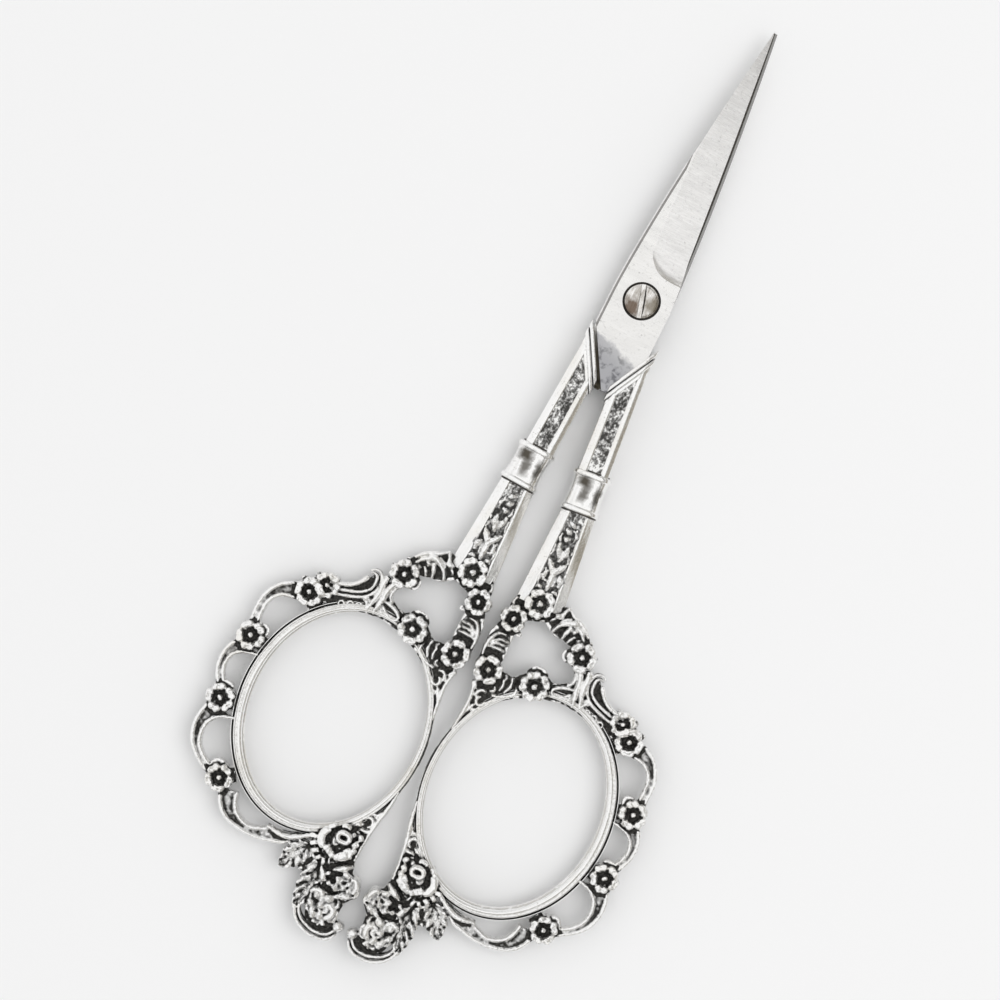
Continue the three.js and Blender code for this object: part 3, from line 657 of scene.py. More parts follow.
# The spray's two flowers: rounds that carry them, as middle and radius, and their petals as ridges
SPRAY_ROUNDS = [(2.05, -83.2, 1.7), (3.75, -86.75, 2.3)]
SPRAY_PETALS = [
    # lower flower
    [(6, -85.6, 0.2), (5.7, -85.1, 0.26), (5.2, -84.9, 0.28), (4.7, -85.1, 0.26), (4.4, -85.6, 0.24),
     (4.4, -86.1, 0.18)],
    [(5.5, -85.85, 0.2), (5.2, -85.65, 0.3), (4.9, -85.75, 0.2)],
    [(4.1, -85.9, 0.22), (3.7, -85.4, 0.38), (3, -85.1, 0.26)],
    [(3.4, -86.2, 0.22), (2.9, -86.2, 0.26), (2.45, -86.6, 0.28), (2.4, -87.2, 0.28), (2.7, -87.7, 0.26),
     (3.1, -87.8, 0.2)],
    [(3.9, -87.2, 0.22), (3.75, -87.7, 0.3), (3.6, -88.3, 0.22)],
    [(5.1, -87.2, 0.22), (4.8, -87.8, 0.32), (4.5, -88.5, 0.24)],
    [(5.9, -86.5, 0.22), (5.5, -86.8, 0.32), (5.1, -87.1, 0.22)],
    [(4.6, -86.4, 0.2), (4.2, -86.6, 0.34), (3.8, -86.8, 0.2)], [(3.6, -88.8, 0.2), (3.4, -88.9, 0.24)],
    [(2.95, -88.6, 0.2), (2.85, -88.8, 0.22)],
    # upper flower
    [(3.7, -82.3, 0.22), (3.55, -82.7, 0.3), (3.1, -82.9, 0.24)],
    [(3.2, -81.85, 0.2), (2.7, -81.75, 0.28), (2.3, -81.95, 0.22)],
    [(2, -82, 0.2), (1.5, -81.95, 0.26), (1.1, -82.4, 0.28), (0.95, -83, 0.26), (1.05, -83.6, 0.2)],
    [(2.25, -82.6, 0.2), (1.95, -82.8, 0.3)], [(2.8, -83.1, 0.22), (2.5, -83.4, 0.34), (2.2, -83.6, 0.2)],
    [(3.9, -83.4, 0.22), (3.6, -83.7, 0.34), (3.25, -84.2, 0.24)],
    [(2.3, -84.3, 0.2), (1.8, -84.3, 0.3), (1.3, -84.05, 0.24)], [(2.9, -84.5, 0.2), (2.75, -84.9, 0.28)],
    # leaves beside them
    [(5.9, -82.3, 0.2), (5.6, -82.8, 0.32), (5.3, -83.4, 0.3), (4.9, -83.5, 0.18)],
    [(5.2, -82.3, 0.18), (4.9, -82.6, 0.22)], [(6, -84, 0.24), (5.8, -84.2, 0.28)],
    [(4.65, -83.75, 0.22), (4.25, -83.4, 0.3)],
]


def rose():
    """A rose: a round bud with a dark middle, and petals laid unevenly round it."""
    made = [crumpled(flower((5.35, -78.5), 2.75, 0, rose_ground), 0.5)]
    for points, top in [(ROSE_BUD, REST), *ROSE_PETALS]:
        lift = (top + 1.0) / 2
        ridge = fuller(points, 1.3)
        most = max(half for _, _, half in ridge)
        made.append(crumpled(strand(ridge, lift, (top - lift) / most), 0.3))
    return made


# ---------------------------------------------------------------- bow: the pierced ornament

WEB = 0.8  # the height of the ground between the ridges
DEEP = -0.5  # where the grounds start, under the plane between the blades

# Middle, radius, turn, and heights of the petals and of the sunken star
BLOSSOMS = [
    (4.7, -40.2, 2.05, 18, 2.05, 1.42), (2.48, -43.3, 1.85, 0, 1.75, 0.95),
    (2.3, -50.55, 2, 50, 1.75, 0.95), (8.55, -49.95, 2.05, 10, 2, 1.38), (12.43, -44.1, 2, 30, 1.75, 0.95),
    (20.75, -49.55, 1.75, 0, 1.7, 0.95), (22.4, -51.25, 1.95, 35, 1.85, 1.05),
    (26.8, -59.4, 1.95, 10, 1.75, 0.95), (26.95, -68.2, 1.95, 25, 1.75, 0.95),
    (22.75, -77.45, 1.9, 0, 1.75, 0.95),
]

# Outlines of the flat grounds
GROUNDS = [
    # beside the shank's foot
    [(1.7, -40.3), (1.35, -41.6), (1.25, -43), (3, -44.2), (4.2, -42.8), (6.4, -42), (6.8, -40),
     (5, -38.8)],
    # inner column
    [(1, -44.4), (0.5, -46), (0.42, -48), (0.6, -49.6), (1.2, -50.4), (3.3, -50), (3.6, -48.2), (3.5, -46),
     (3.4, -44.3), (2.5, -43.5)],
    # leaf between the shank and the corner
    [(6.6, -39.3), (7.6, -39.3), (8.5, -38.9), (9.3, -39.5), (10.5, -40.1), (11.4, -40.7), (12.3, -41.5),
     (12.7, -42.3), (11, -43.4), (10.2, -43.4), (9.3, -43.1), (8.2, -43.2), (7.4, -42.8), (6, -41.8)],
    # along the top of the ring
    [(3, -50.2), (5.5, -50.1), (6.6, -49.2), (8.1, -47.7), (9.3, -47.9), (10.3, -48.6), (11.2, -48.4),
     (12.4, -47.7), (13, -46.2), (14.8, -45.4), (15.1, -47.5), (16, -48.7), (18, -49.4), (21, -50.4),
     (20.8, -51.9), (17, -51.1), (13, -50.5), (10, -51), (7.6, -52.1), (5, -53), (3.2, -52.4)],
    # between the strands of the scroll
    [(15, -45.6), (15.9, -45.9), (16.5, -46.8), (17.6, -47.9), (19.4, -48.6), (20.8, -49), (20.8, -50.4),
     (18, -49.7), (16, -48.9), (15, -47.6)],
    # the wedge beside the ring
    [(0.9, -51.3), (1.7, -53), (1.75, -55), (1.62, -57.2), (2, -57.4), (3.1, -55.6), (4.6, -54.1),
     (6.6, -52.7), (7.6, -51.9), (7, -50.8), (5, -50), (3, -50)],
    # the spray below the ring
    [(8.6, -78.2), (8.7, -79.6), (8.2, -80.9), (7.2, -82.2), (6.3, -82.6), (6.1, -85), (6, -87.4),
     (5.4, -88.9), (3.7, -89.9), (1.9, -89.6), (1.5, -88.3), (1.7, -86.8), (1.55, -85.2), (0.85, -84.3),
     (0.65, -83), (1.1, -81.9), (2.1, -81.4), (2.55, -80), (2.4, -77.5), (1.95, -75), (1.5, -72.3),
     (1.9, -72.1), (3.4, -73.7), (5.4, -75.9), (7, -77.2)],
    # between the two leaves of the spray
    [(7, -81), (8.6, -80.6), (9.1, -82.4), (8.8, -83.7), (7.6, -83.6), (6.8, -82.4)],
]

# Ridges through points of x, y and half width
RIDGES = [
    # bud and thorn at the shank's outer side
    [(7.9, -40.7, 0.24), (8.1, -39.9, 0.22), (8.5, -39, 0.12)],
    [(7.1, -40.75, 0.2), (7.6, -40.6, 0.32), (8.05, -40.4, 0.22)],
    # leaf between the shank and the corner
    [(7.6, -42.75, 0.12), (8.05, -41.75, 0.22), (8.9, -41, 0.28), (9.9, -40.6, 0.36), (10.6, -40.7, 0.2)],
    [(9.1, -43.1, 0.12), (9.3, -42.1, 0.26), (9.65, -41.2, 0.24)],
    [(11.7, -42.2, 0.1), (11.3, -41.45, 0.18), (10.5, -41, 0.24), (9.9, -40.9, 0.2)],
    [(10.1, -42, 0.1), (10.25, -41.6, 0.24), (10.6, -41.5, 0.12)],
    [(8.5, -39.2, 0.12), (9.4, -39.8, 0.2), (10.4, -40.15, 0.2), (11.4, -40.8, 0.22), (12.2, -41.6, 0.14)],
    [(6.8, -41.6, 0.1), (7.1, -41.2, 0.16), (7.4, -41.15, 0.1)],
    [(10.9, -43, 0.1), (11.05, -42.5, 0.18), (11.5, -42.2, 0.1)],
    # beside the two blossoms at the shank's foot
    [(1.75, -40.6, 0.12), (1.6, -41.3, 0.2), (2, -41.8, 0.12)],
    [(3, -41.7, 0.1), (3.5, -41.9, 0.2), (4, -42.3, 0.12)],
    [(6.2, -41.9, 0.12), (5.5, -42.1, 0.18), (4.6, -42.4, 0.12)],
    # inner column: a palm with three fronds
    [(2.6, -45.55, 0.1), (1.6, -45.75, 0.15), (1, -46.6, 0.18), (0.72, -47.9, 0.2), (0.8, -49.1, 0.14)],
    [(3.2, -46.35, 0.08), (2.1, -46.4, 0.13), (1.1, -47.15, 0.13)],
    [(2.9, -47, 0.06), (2, -47, 0.1), (1.2, -47.45, 0.1)],
    [(3.2, -47.65, 0.08), (2, -47.65, 0.13), (0.95, -47.8, 0.13)],
    # between the two lower blossoms
    [(7.4, -51.6, 0.1), (7.2, -52, 0.17), (6.7, -52.4, 0.1)],
    [(4.6, -50.2, 0.1), (4.9, -50.6, 0.17), (4.6, -51, 0.1)],
    [(4, -52.1, 0.1), (4.1, -52.6, 0.18), (3.6, -52.9, 0.12)],
    [(6.5, -50.7, 0.12), (6.7, -51.8, 0.2), (6.1, -52.5, 0.22), (5.2, -53, 0.2), (4.1, -53.35, 0.14)],
    [(5.65, -50.2, 0.12), (5.8, -51.3, 0.2), (5.35, -52.4, 0.14)],
    [(4.75, -51.1, 0.12), (4.85, -51.7, 0.17), (4.7, -52.4, 0.12)],
    # wedge beside the ring
    [(3.75, -54.3, 0.12), (3.45, -55, 0.19), (2.8, -55.05, 0.19), (2.6, -54.4, 0.17), (2.95, -54, 0.12)],
    [(3.3, -53.3, 0.12), (2.75, -53.2, 0.18), (2.3, -53.7, 0.18), (2.2, -54.3, 0.12)],
    [(2.5, -55.3, 0.15), (2.2, -56.1, 0.16), (1.95, -57, 0.1)],
    [(1.35, -52.4, 0.12), (1.7, -53, 0.18), (1.95, -53.4, 0.1)],
    [(4.9, -53.55, 0.12), (4.3, -54.1, 0.2), (3.9, -54.7, 0.12)],
    [(3.3, -55.6, 0.1), (2.85, -55.9, 0.17), (2.6, -56.4, 0.1)],
    # tie of stems
    [(13, -45.6, 0.3), (13.45, -46.8, 0.34), (13.55, -48, 0.32), (13.8, -49.3, 0.28), (14, -50.4, 0.16)],
    [(14.1, -45.3, 0.28), (14.35, -46.4, 0.35), (14.3, -47.5, 0.34), (14.5, -48.6, 0.28),
     (14.9, -50.2, 0.16)],
    [(12.5, -46, 0.12), (12.8, -46.9, 0.2), (12.7, -47.7, 0.16), (12.2, -48.1, 0.1)],
    [(12.9, -50.3, 0.1), (13.2, -49.6, 0.18), (13.3, -49.1, 0.1)],
    [(15.2, -50.5, 0.1), (15.1, -49.8, 0.18), (15.35, -49.4, 0.1)],
    # teardrop leaf
    [(13.5, -48.3, 0.14), (12.3, -48.45, 0.2), (11.2, -49, 0.2), (10.75, -49.6, 0.18), (11.3, -50.05, 0.18),
     (12.3, -49.75, 0.16), (13.3, -48.8, 0.12)],
    # outer strand of the scroll
    [(16.35, -46.3, 0.2), (16.6, -46.7, 0.3), (17, -47.3, 0.24), (17.8, -48.05, 0.22), (19.2, -48.65, 0.22),
     (20.6, -49, 0.18)],
    # curls along the ring's top
    [(15.2, -48.9, 0.16), (15.55, -48.95, 0.22), (15.8, -49.3, 0.14)],
    # wedge over the rose
    [(4.2, -73.95, 0.1), (3.75, -73.5, 0.18), (3.4, -72.95, 0.1)],
    [(2.1, -74, 0.12), (2.25, -74.5, 0.18), (2.2, -75.1, 0.12)],
    [(5.4, -76, 0.12), (5, -75.65, 0.2), (4.6, -75.9, 0.12)],
    [(6.6, -77, 0.14), (6.1, -76.5, 0.22), (5.5, -76.4, 0.14)],
    [(7.9, -77.8, 0.12), (7.3, -77.2, 0.2), (6.9, -77.3, 0.12)],
    # round the rose
    [(6.3, -80.6, 0.12), (5.6, -80.95, 0.2), (4.9, -81, 0.14)],
    [(8.3, -80.6, 0.12), (7.7, -81.3, 0.2), (6.9, -81.9, 0.14)],
    [(3.7, -74.35, 0.12), (3.3, -73.95, 0.17), (2.75, -74.15, 0.19), (2.6, -74.8, 0.19),
     (3.05, -75.2, 0.12)],
    [(4.75, -75.4, 0.12), (4.15, -74.7, 0.2), (3.85, -74.1, 0.12)],
    [(3.6, -75.6, 0.14), (3, -75.75, 0.2), (2.4, -75.5, 0.16)],
    [(2.5, -73.4, 0.14), (2.2, -72.9, 0.16), (1.9, -72.2, 0.1)],
    # stem and sepal of the rose
    [(8.6, -78.9, 0.14), (8.3, -79.6, 0.2), (7.95, -80.3, 0.14)],
    [(4.7, -81.9, 0.16), (3.9, -81.4, 0.4), (3.2, -80.95, 0.4), (2.5, -80.5, 0.18)],
    # borders of the two wedges, and more leaves on their grounds
    [(1.3, -69.4, 0.1), (1.5, -71, 0.22), (1.8, -72.6, 0.26), (2.15, -74.2, 0.22), (2.45, -76.2, 0.22),
     (2.65, -78.2, 0.2), (2.7, -79.8, 0.16)],
    [(1.2, -52.6, 0.12), (1.6, -53.6, 0.18), (1.78, -55.2, 0.2), (1.7, -56.6, 0.24), (1.55, -58, 0.2),
     (1.35, -59.4, 0.1)],
    [(4.6, -75.6, 0.12), (4.1, -75.35, 0.2), (3.6, -75, 0.14)],
    [(5.6, -76.4, 0.12), (5, -76.45, 0.22), (4.4, -76.8, 0.14)],
    [(3.3, -73.5, 0.1), (2.8, -73.3, 0.2), (2.4, -73.7, 0.12)],
    [(3.9, -75.9, 0.1), (3.4, -75.75, 0.2), (2.9, -76, 0.12)],
    [(2.7, -76.3, 0.12), (3.3, -76.5, 0.2), (4, -76.2, 0.14)],
    [(3, -77.1, 0.12), (3.3, -77.7, 0.18), (3.1, -78.5, 0.12)],
    [(9.1, -40.8, 0.2), (9.8, -40.55, 0.36), (10.4, -40.5, 0.2)],
    [(10.8, -41.3, 0.12), (11.6, -41.9, 0.18), (12.1, -42.6, 0.1)],
    [(9.95, -43.2, 0.1), (10.2, -42.6, 0.17), (10.6, -42.1, 0.1)],
    [(7.9, -41.7, 0.12), (8.5, -40.7, 0.16), (9.3, -40.3, 0.18)],
    [(3.2, -49, 0.1), (2.5, -48.55, 0.12), (1.9, -48.75, 0.1)],
    # bands under the ring
    [(14.6, -80.4, 0.16), (12.9, -80.6, 0.28), (11.9, -80.55, 0.3), (10.9, -80.2, 0.3), (8.8, -78.9, 0.26)],
]

# Ridges with a groove along their middle
TWIN_RIDGES = [
    # inner strand of the scroll
    [(16.45, -45.65, 0.2), (15.85, -45.35, 0.34), (15.25, -45.6, 0.44), (15, -46.4, 0.48),
     (15.1, -47.4, 0.5), (15.75, -48.35, 0.52), (16.9, -49, 0.52), (18.5, -49.5, 0.5), (20.2, -50, 0.4)],
    # scroll that ends at the ball
    [(7, -87.7, 0.36), (6.35, -89, 0.46), (4.8, -90, 0.52), (3, -90.25, 0.52), (1.75, -89.85, 0.48),
     (1.05, -89, 0.38)],
]

# Crescents round the outside of the ring: an outer and an inner strand
CRESCENTS = [
    ([(23.6, -50.9, 0.26), (25, -51.25, 0.28), (26.3, -52.15, 0.29), (27.25, -53.6, 0.29),
     (27.65, -55.3, 0.28), (27.6, -57.9, 0.26)], [(22.7, -52.6, 0.24), (24.2, -52.75, 0.26),
     (25.6, -53.2, 0.27), (26.5, -54.2, 0.28), (26.85, -56, 0.28), (26.7, -58, 0.28)]),
    ([(27.8, -60.5, 0.26), (28.7, -61.7, 0.29), (29.05, -63.4, 0.29), (28.85, -65, 0.29),
     (28, -66.7, 0.28)], [(24.9, -61.3, 0.24), (26.2, -61.55, 0.26), (27.3, -62, 0.27),
     (28.1, -62.95, 0.28), (28.25, -64.4, 0.28), (27.5, -66.2, 0.28)]),
    ([(28, -69.4, 0.28), (28.5, -71.6, 0.32), (28.35, -73.4, 0.32), (27.6, -75, 0.3), (26, -76.55, 0.28),
     (24.2, -77.5, 0.26)], [(24.2, -69.9, 0.26), (25.4, -70.2, 0.28), (26.4, -70.75, 0.3),
     (27.2, -72.1, 0.3), (27.15, -73.9, 0.3), (26.4, -75.3, 0.3), (24.3, -76.7, 0.28)]),
    ([(22, -78.6, 0.28), (21.2, -80.4, 0.32), (19.9, -81.6, 0.32), (18, -82.2, 0.32), (15.7, -82.35, 0.3),
     (13.7, -82, 0.3), (12, -81.5, 0.3), (11.1, -80.8, 0.22)], [(19.9, -78.2, 0.3), (19.35, -80, 0.34),
     (18.3, -81, 0.32), (16.7, -81.5, 0.3), (15.3, -81.1, 0.28), (13.9, -80.5, 0.24)]),
]

# Small rings of wire along the top of the finger ring: middle and radius
LOOPS = [(16.0, -50.25, 0.42), (17.05, -50.5, 0.4), (18.15, -50.85, 0.36), (15.4, -49.0, 0.3)]

# Low round leaves that look out from under the blossoms: middle, reach along and across, and turn
TABS = [
    (8.35, -48.75, 1.45, 1.35, 0), (11, -44.6, 1.05, 0.95, 20), (25.75, -58.25, 0.95, 0.9, 0),
    (26.75, -66.65, 0.9, 0.85, 0), (23.5, -76.1, 1, 0.9, 0), (3.95, -44.85, 0.42, 0.34, 0),
    (12.75, -42.25, 0.4, 0.28, 80), (14.05, -43.6, 0.4, 0.28, 20), (22.3, -48.8, 0.4, 0.28, 100),
    (23.7, -50, 0.4, 0.3, 30),
]

# Bridges that carry the outer blossoms on the ring
BRIDGES = [
    [(19.6, -51.2, 1), (20.9, -49.8, 1.1)], [(20.9, -52.9, 1.1), (22.5, -51.2, 1.2)],
    [(24.3, -60, 1.2), (26.8, -59.4, 1.1)], [(24.5, -68.1, 1.2), (26.9, -68.2, 1.1)],
    [(21, -76.3, 1.2), (22.8, -77.5, 1.1)],
]

# The ball that stops the closing: middle and radius
BALL = (1.05, -88.25, 0.85)


def leaf_blade(base, tip, teeth, bend, rib, vein_depth):
    """A toothed leaf with raised lobes along its edge, a sunken rib and slanting veins."""
    half = 1.45
    base, run = Vector(base), Vector(tip) - Vector(base)
    side = Vector((-run.y, run.x)).normalized()
    rows = []
    for i in range(73):
        along = i / 72
        taper_in = math.sin(math.pi * min(along * 0.88 + 0.12, 1)) ** 0.7
        row = []
        for j in range(33):
            across = j / 16 - 1
            phase = ((along - 0.2 * abs(across)) * teeth) % 1
            width = half * taper_in * (0.88 + 0.24 * phase) + 0.02
            place = base + run * along + side * (bend * 4 * along * (1 - along) + across * width)
            vein = vein_depth * hump(min(phase, 1 - phase), 0, 0.16) * min(abs(across) * 3, 1)
            sunk = 0.75 * hump(across, rib, 0.26) * math.sin(math.pi * min(along + 0.05, 1)) ** 0.4
            lobes = 0.25 * hump(abs(across), 0.75, 0.25)
            row.append((place.x, place.y, 1.2 + lobes - 0.25 * along - vein - sunk))
        rows.append(row)
    return slab(rows, UNDER)


def tab(x, y, reach, across, turn):
    """A low oval leaf."""
    turning = Matrix.Rotation(math.radians(turn), 2)
    outline = []
    for i in range(28):
        angle = 2 * math.pi * i / 28
        outline.append(Vector((x, y)) + turning @ Vector((reach * math.cos(angle), across * math.sin(angle))))
    return plate(outline, DEEP, 1.05)


def bow_ornament():
    """The pierced ornament of one handle: its face is built, then mirrored to the back."""
    made = [plate(outline, DEEP, WEB) for outline in GROUNDS]
    for x, y, radius, turn, top, floor in BLOSSOMS:
        made.append(crumpled(flower((x, y), radius, turn, blossom_relief(top, floor)), 0.4))
    made += rose()
    for x, y, radius in SPRAY_ROUNDS:
        made.append(crumpled(flower((x, y), radius, 20, spray_ground), 0.7))
    made += [crumpled(strand(fuller(points, 1.65), 0.95, 1.9), 0.3) for points in SPRAY_PETALS]
    made += [strand(fuller(points, 1.38), 0.85, 1.85) for points in RIDGES]
    for points in TWIN_RIDGES:
        made += twin_strands(points, 0.3)
    for outer, inner in CRESCENTS:
        made += [strand(outer, 0.5, 1.9), strand(inner, 0.5, 1.9)]
        made.append(plate([(x, y) for x, y, _ in outer + inner[::-1]], DEEP, WEB))
        made.append(plate([(x, y) for x, y, _ in outer[3:] + inner[:3:-1]], DEEP, WEB + 0.04))
    for x, y, radius in LOOPS:
        wire = [(x + radius * math.cos(i), y + radius * math.sin(i), 0.15) for i in range(8)]
        made.append(strand(wire, 0.85, 2.0))
    made += [tab(*shape) for shape in TABS]
    made += [strand(points, 0, 0.75) for points in BRIDGES]
    made.append(crumpled(leaf_blade((8.6, -80.4), (11.2, -84.4), 4, 0.1, 0.0, 0.4), 0.5))
    made.append(crumpled(leaf_blade((6.8, -81.8), (7.3, -88.4), 5, -0.35, -0.2, 0.42), 0.45))
    ball = added(bpy.ops.mesh.primitive_uv_sphere_add, segments=32, ring_count=20, radius=BALL[2])
    for vertex in ball.data.vertices:
        vertex.co = (BALL[0] + vertex.co.x, BALL[1] + vertex.co.y, vertex.co.z * 1.5)
    bow = joined([*made, ball])
    modify(bow, "REMESH", mode="VOXEL", voxel_size=0.09)
    modify(bow, "SMOOTH", factor=0.5, iterations=2)
    lumps = bpy.data.textures.new("lumps", "CLOUDS")
    lumps.noise_scale = 0.55
    crumpled(bow, 0.14, lumps)
    modify(bow, "DECIMATE", ratio=0.18)
    return modify(
        levelled(bow), "MIRROR", use_axis=(False, False, True), use_bisect_axis=(False, False, True),
        use_clip=True, merge_threshold=0.002,
    )


# ---------------------------------------------------------------- finger ring

# Ovals that bound the ring: middle and half width across and along
RING_INNER = (12.55, -64.35, 11.05, 13.85)
RING_OUTER = (12.92, -64.45, 12.54, 15.30)
RING_HALF = 1.35


def on_oval(oval, angle):
    x, y, across, along = oval
    return Vector((x + across * math.cos(angle), y + along * math.sin(angle)))


def finger_ring():
    """An oval bar, wider on its outside. Across it lie a step and a groove inside, a broad shallow
    groove on top, and a deep groove with a low lip outside."""
    made = added(
        bpy.ops.mesh.primitive_torus_add, major_segments=144, minor_segments=72,
        major_radius=2, minor_radius=1,
    )
    for vertex in made.data.vertices:
        x, y, z = vertex.co
        across = math.hypot(x, y) - 2
        bar_angle = math.atan2(z, across)
        wide = math.copysign(abs(math.cos(bar_angle)) ** 0.95, across)
        up = abs(math.sin(bar_angle)) * RING_HALF
        if wide < -0.7:
            up *= 0.8
        up *= 1 - 0.13 * hump(wide, 0.08, 0.24, 4) - 0.1 * hump(wide, -0.68, 0.08)
        up *= 1 - 0.45 * hump(wide, 0.68, 0.08)
        lip = 0.66 * RING_HALF * math.sqrt(max(0.0, 1 - ((wide - 0.87) / 0.13) ** 4))
        angle = math.atan2(y, x)
        place = on_oval(RING_INNER, angle).lerp(on_oval(RING_OUTER, angle), (wide + 1) / 2)
        vertex.co = (place.x, place.y, math.copysign(max(up, lip), z))
    return made


# ---------------------------------------------------------------- shank, collar and bolster

BOLSTER_TOP = Vector((4.1, -5.6))
BOLSTER_FOOT = Vector((0.55, -12.0))
SLANT = (BOLSTER_FOOT - BOLSTER_TOP).normalized()
BLADEWARD = Vector((SLANT.y, -SLANT.x))
# Beads of the bolster: from and to below its slant, growth over the bar, and softness of the edges
BOLSTER_BEADS = [(0.0, 0.52, 0.3, 0.24), (0.6, 1.12, 0.3, 0.24), (0.2, 1.5, 0.05, 0.08)]

SHANK_TOP = Vector((2.62, -5.6))
SHANK_MID = Vector((3.88, -22.3))
SHANK_END = Vector((4.75, -40.6))
SHANK_RUN = (SHANK_MID - SHANK_TOP).normalized()
SHANK_HALF = 2.02
SHANK_END_HALF = 1.2
UPPER_CORNER = 0.78  # height of the upper bar's corners, as a share of its half height
PANEL_DEPTH = 0.12

COLLAR_LENGTH = 5.4
COLLAR_SEAM = 0.16  # length of the dark lip at either end
COLLAR_SQUARE = 2.9  # the power of its rounded square section
COLLAR_FOOT = SHANK_MID + SHANK_RUN * COLLAR_LENGTH
COLLAR_PROFILE = [
    (0, -COLLAR_SEAM), (2.34, -COLLAR_SEAM), (2.34, 0), (2.52, 0.06), (2.62, 0.2), (2.62, 0.5), (2.54, 0.66),
    (2.4, 0.74), (2.36, 0.9), (2.34, 1.2), (2.26, 1.7), (2.22, 2.6), (2.24, 3.5), (2.3, 4.1), (2.34, 4.5),
    (2.38, 4.62), (2.5, 4.68), (2.58, 4.8), (2.58, 5.1), (2.5, 5.28), (2.3, 5.38), (2.12, COLLAR_LENGTH),
    (2.12, COLLAR_LENGTH + COLLAR_SEAM), (0, COLLAR_LENGTH + COLLAR_SEAM),
]

# Ends of the shank's two bars, which reach into the collar: place, half width and half height
IN_COLLAR = SHANK_RUN * 0.5
UPPER_BAR = [
    (SHANK_TOP - SHANK_RUN * 3, 1.78, SHANK_HALF),
    (SHANK_MID + IN_COLLAR - Vector((0.12, 0)), 1.98, SHANK_HALF),
]
LOWER_BAR = [(COLLAR_FOOT - IN_COLLAR, 2.22, SHANK_HALF), (SHANK_END, 3.15, SHANK_END_HALF)]

ANTIQUE, BRIGHT, PANEL, COLLAR, RING, SEAM = range(6)  # places in the handle's list of finishes


def panelled_bar(ends, grow=0.0, rim=0.0, flat=0.55, corner=0.52):
    """An eight-sided bar between two ends. With a rim, panels are sunk in its two flat faces."""
    made = added(bpy.ops.mesh.primitive_cylinder_add, vertices=8, radius=1, depth=2)
    run = (ends[1][0] - ends[0][0]).normalized()
    aside = Vector((-run.y, run.x))
    section = [(1, corner), (flat, 1), (-flat, 1), (-1, corner)]
    section += [(-across, -up) for across, up in section]
    rings = {-1: [], 1: []}
    for vertex in made.data.vertices:
        rings[1 if vertex.co.z > 0 else -1].append(vertex)
    for side, (middle, half, height) in zip((-1, 1), ends):
        ordered = sorted(rings[side], key=lambda v: math.atan2(v.co.y, v.co.x) % (2 * math.pi))
        for vertex, (across, up) in zip(ordered, section):
            place = middle + aside * (half + grow) * across
            vertex.co = (place.x, place.y, up * (height + grow))
    dressed(outwards(made), handle_finishes, BRIGHT)
    if rim:
        with editing(made, "DESELECT"):
            bpy.ops.mesh.select_mode(type="FACE")
        for face in made.data.polygons:
            face.select = abs(face.normal.z) > 0.9
        bpy.ops.object.mode_set(mode="EDIT")
        bpy.ops.mesh.inset(thickness=rim, depth=0)
        bpy.ops.mesh.inset(thickness=0.09, depth=-PANEL_DEPTH)
        bpy.ops.object.mode_set(mode="OBJECT")
        for face in made.data.polygons:
            if face.select:
                face.material_index = PANEL
    return made


def cut_slanted(piece, below, keep_bladeward):
    """Cuts a piece along the bolster's slant, at a distance below it, and closes it."""
    place = BOLSTER_TOP - BLADEWARD * below
    with editing(piece):
        bpy.ops.mesh.bisect(
            plane_co=(place.x, place.y, 0), plane_no=(BLADEWARD.x, BLADEWARD.y, 0), use_fill=True,
            clear_inner=keep_bladeward, clear_outer=not keep_bladeward,
        )
    return piece


def collar():
    """A waisted sleeve of rounded square section with a bead and a seam of painted shade and grime at either
    end.
    """
    made = dressed(turned(COLLAR_PROFILE, 64), handle_finishes, COLLAR)
    for face in made.data.polygons:
        if not 0 < face.center.z < COLLAR_LENGTH:
            face.material_index = SEAM
    for vertex in made.data.vertices:
        x, y, _ = vertex.co
        away = math.hypot(x, y)
        if away > 0.1:
            powers = abs(x / away) ** COLLAR_SQUARE + abs(y / away) ** COLLAR_SQUARE
            square = powers ** (-1 / COLLAR_SQUARE)
            vertex.co.x, vertex.co.y = x * square, y * square
    along = Vector((-SHANK_RUN.x, -SHANK_RUN.y, 0))
    turn = Vector((0, 0, 1)).rotation_difference(along).to_matrix().to_4x4()
    made.data.transform(Matrix.Translation((COLLAR_FOOT.x, COLLAR_FOOT.y, 0)) @ turn)
    tallest = max(vertex.co.z for vertex in made.data.vertices)
    for vertex in made.data.vertices:
        vertex.co.z *= REST / tallest
    return made


def shank():
    """Bolster, upper shank, collar and lower shank of one handle."""
    upper = panelled_bar(UPPER_BAR, rim=0.4, flat=0.72, corner=UPPER_CORNER)
    lower = panelled_bar(LOWER_BAR, rim=0.22, flat=0.6)
    for bar in (cut_slanted(upper, 0.3, False), lower):
        modify(softened(bar, 0.1, 3), "SUBSURF", subdivision_type="SIMPLE", levels=2, render_levels=2)
    beads = []
    for near, far, grow, soft in BOLSTER_BEADS:
        bead = cut_slanted(panelled_bar(UPPER_BAR, grow, corner=UPPER_CORNER), near, False)
        beads.append(softened(cut_slanted(bead, far, True), soft, 4))
    return fused(upper, *beads, lower, collar())


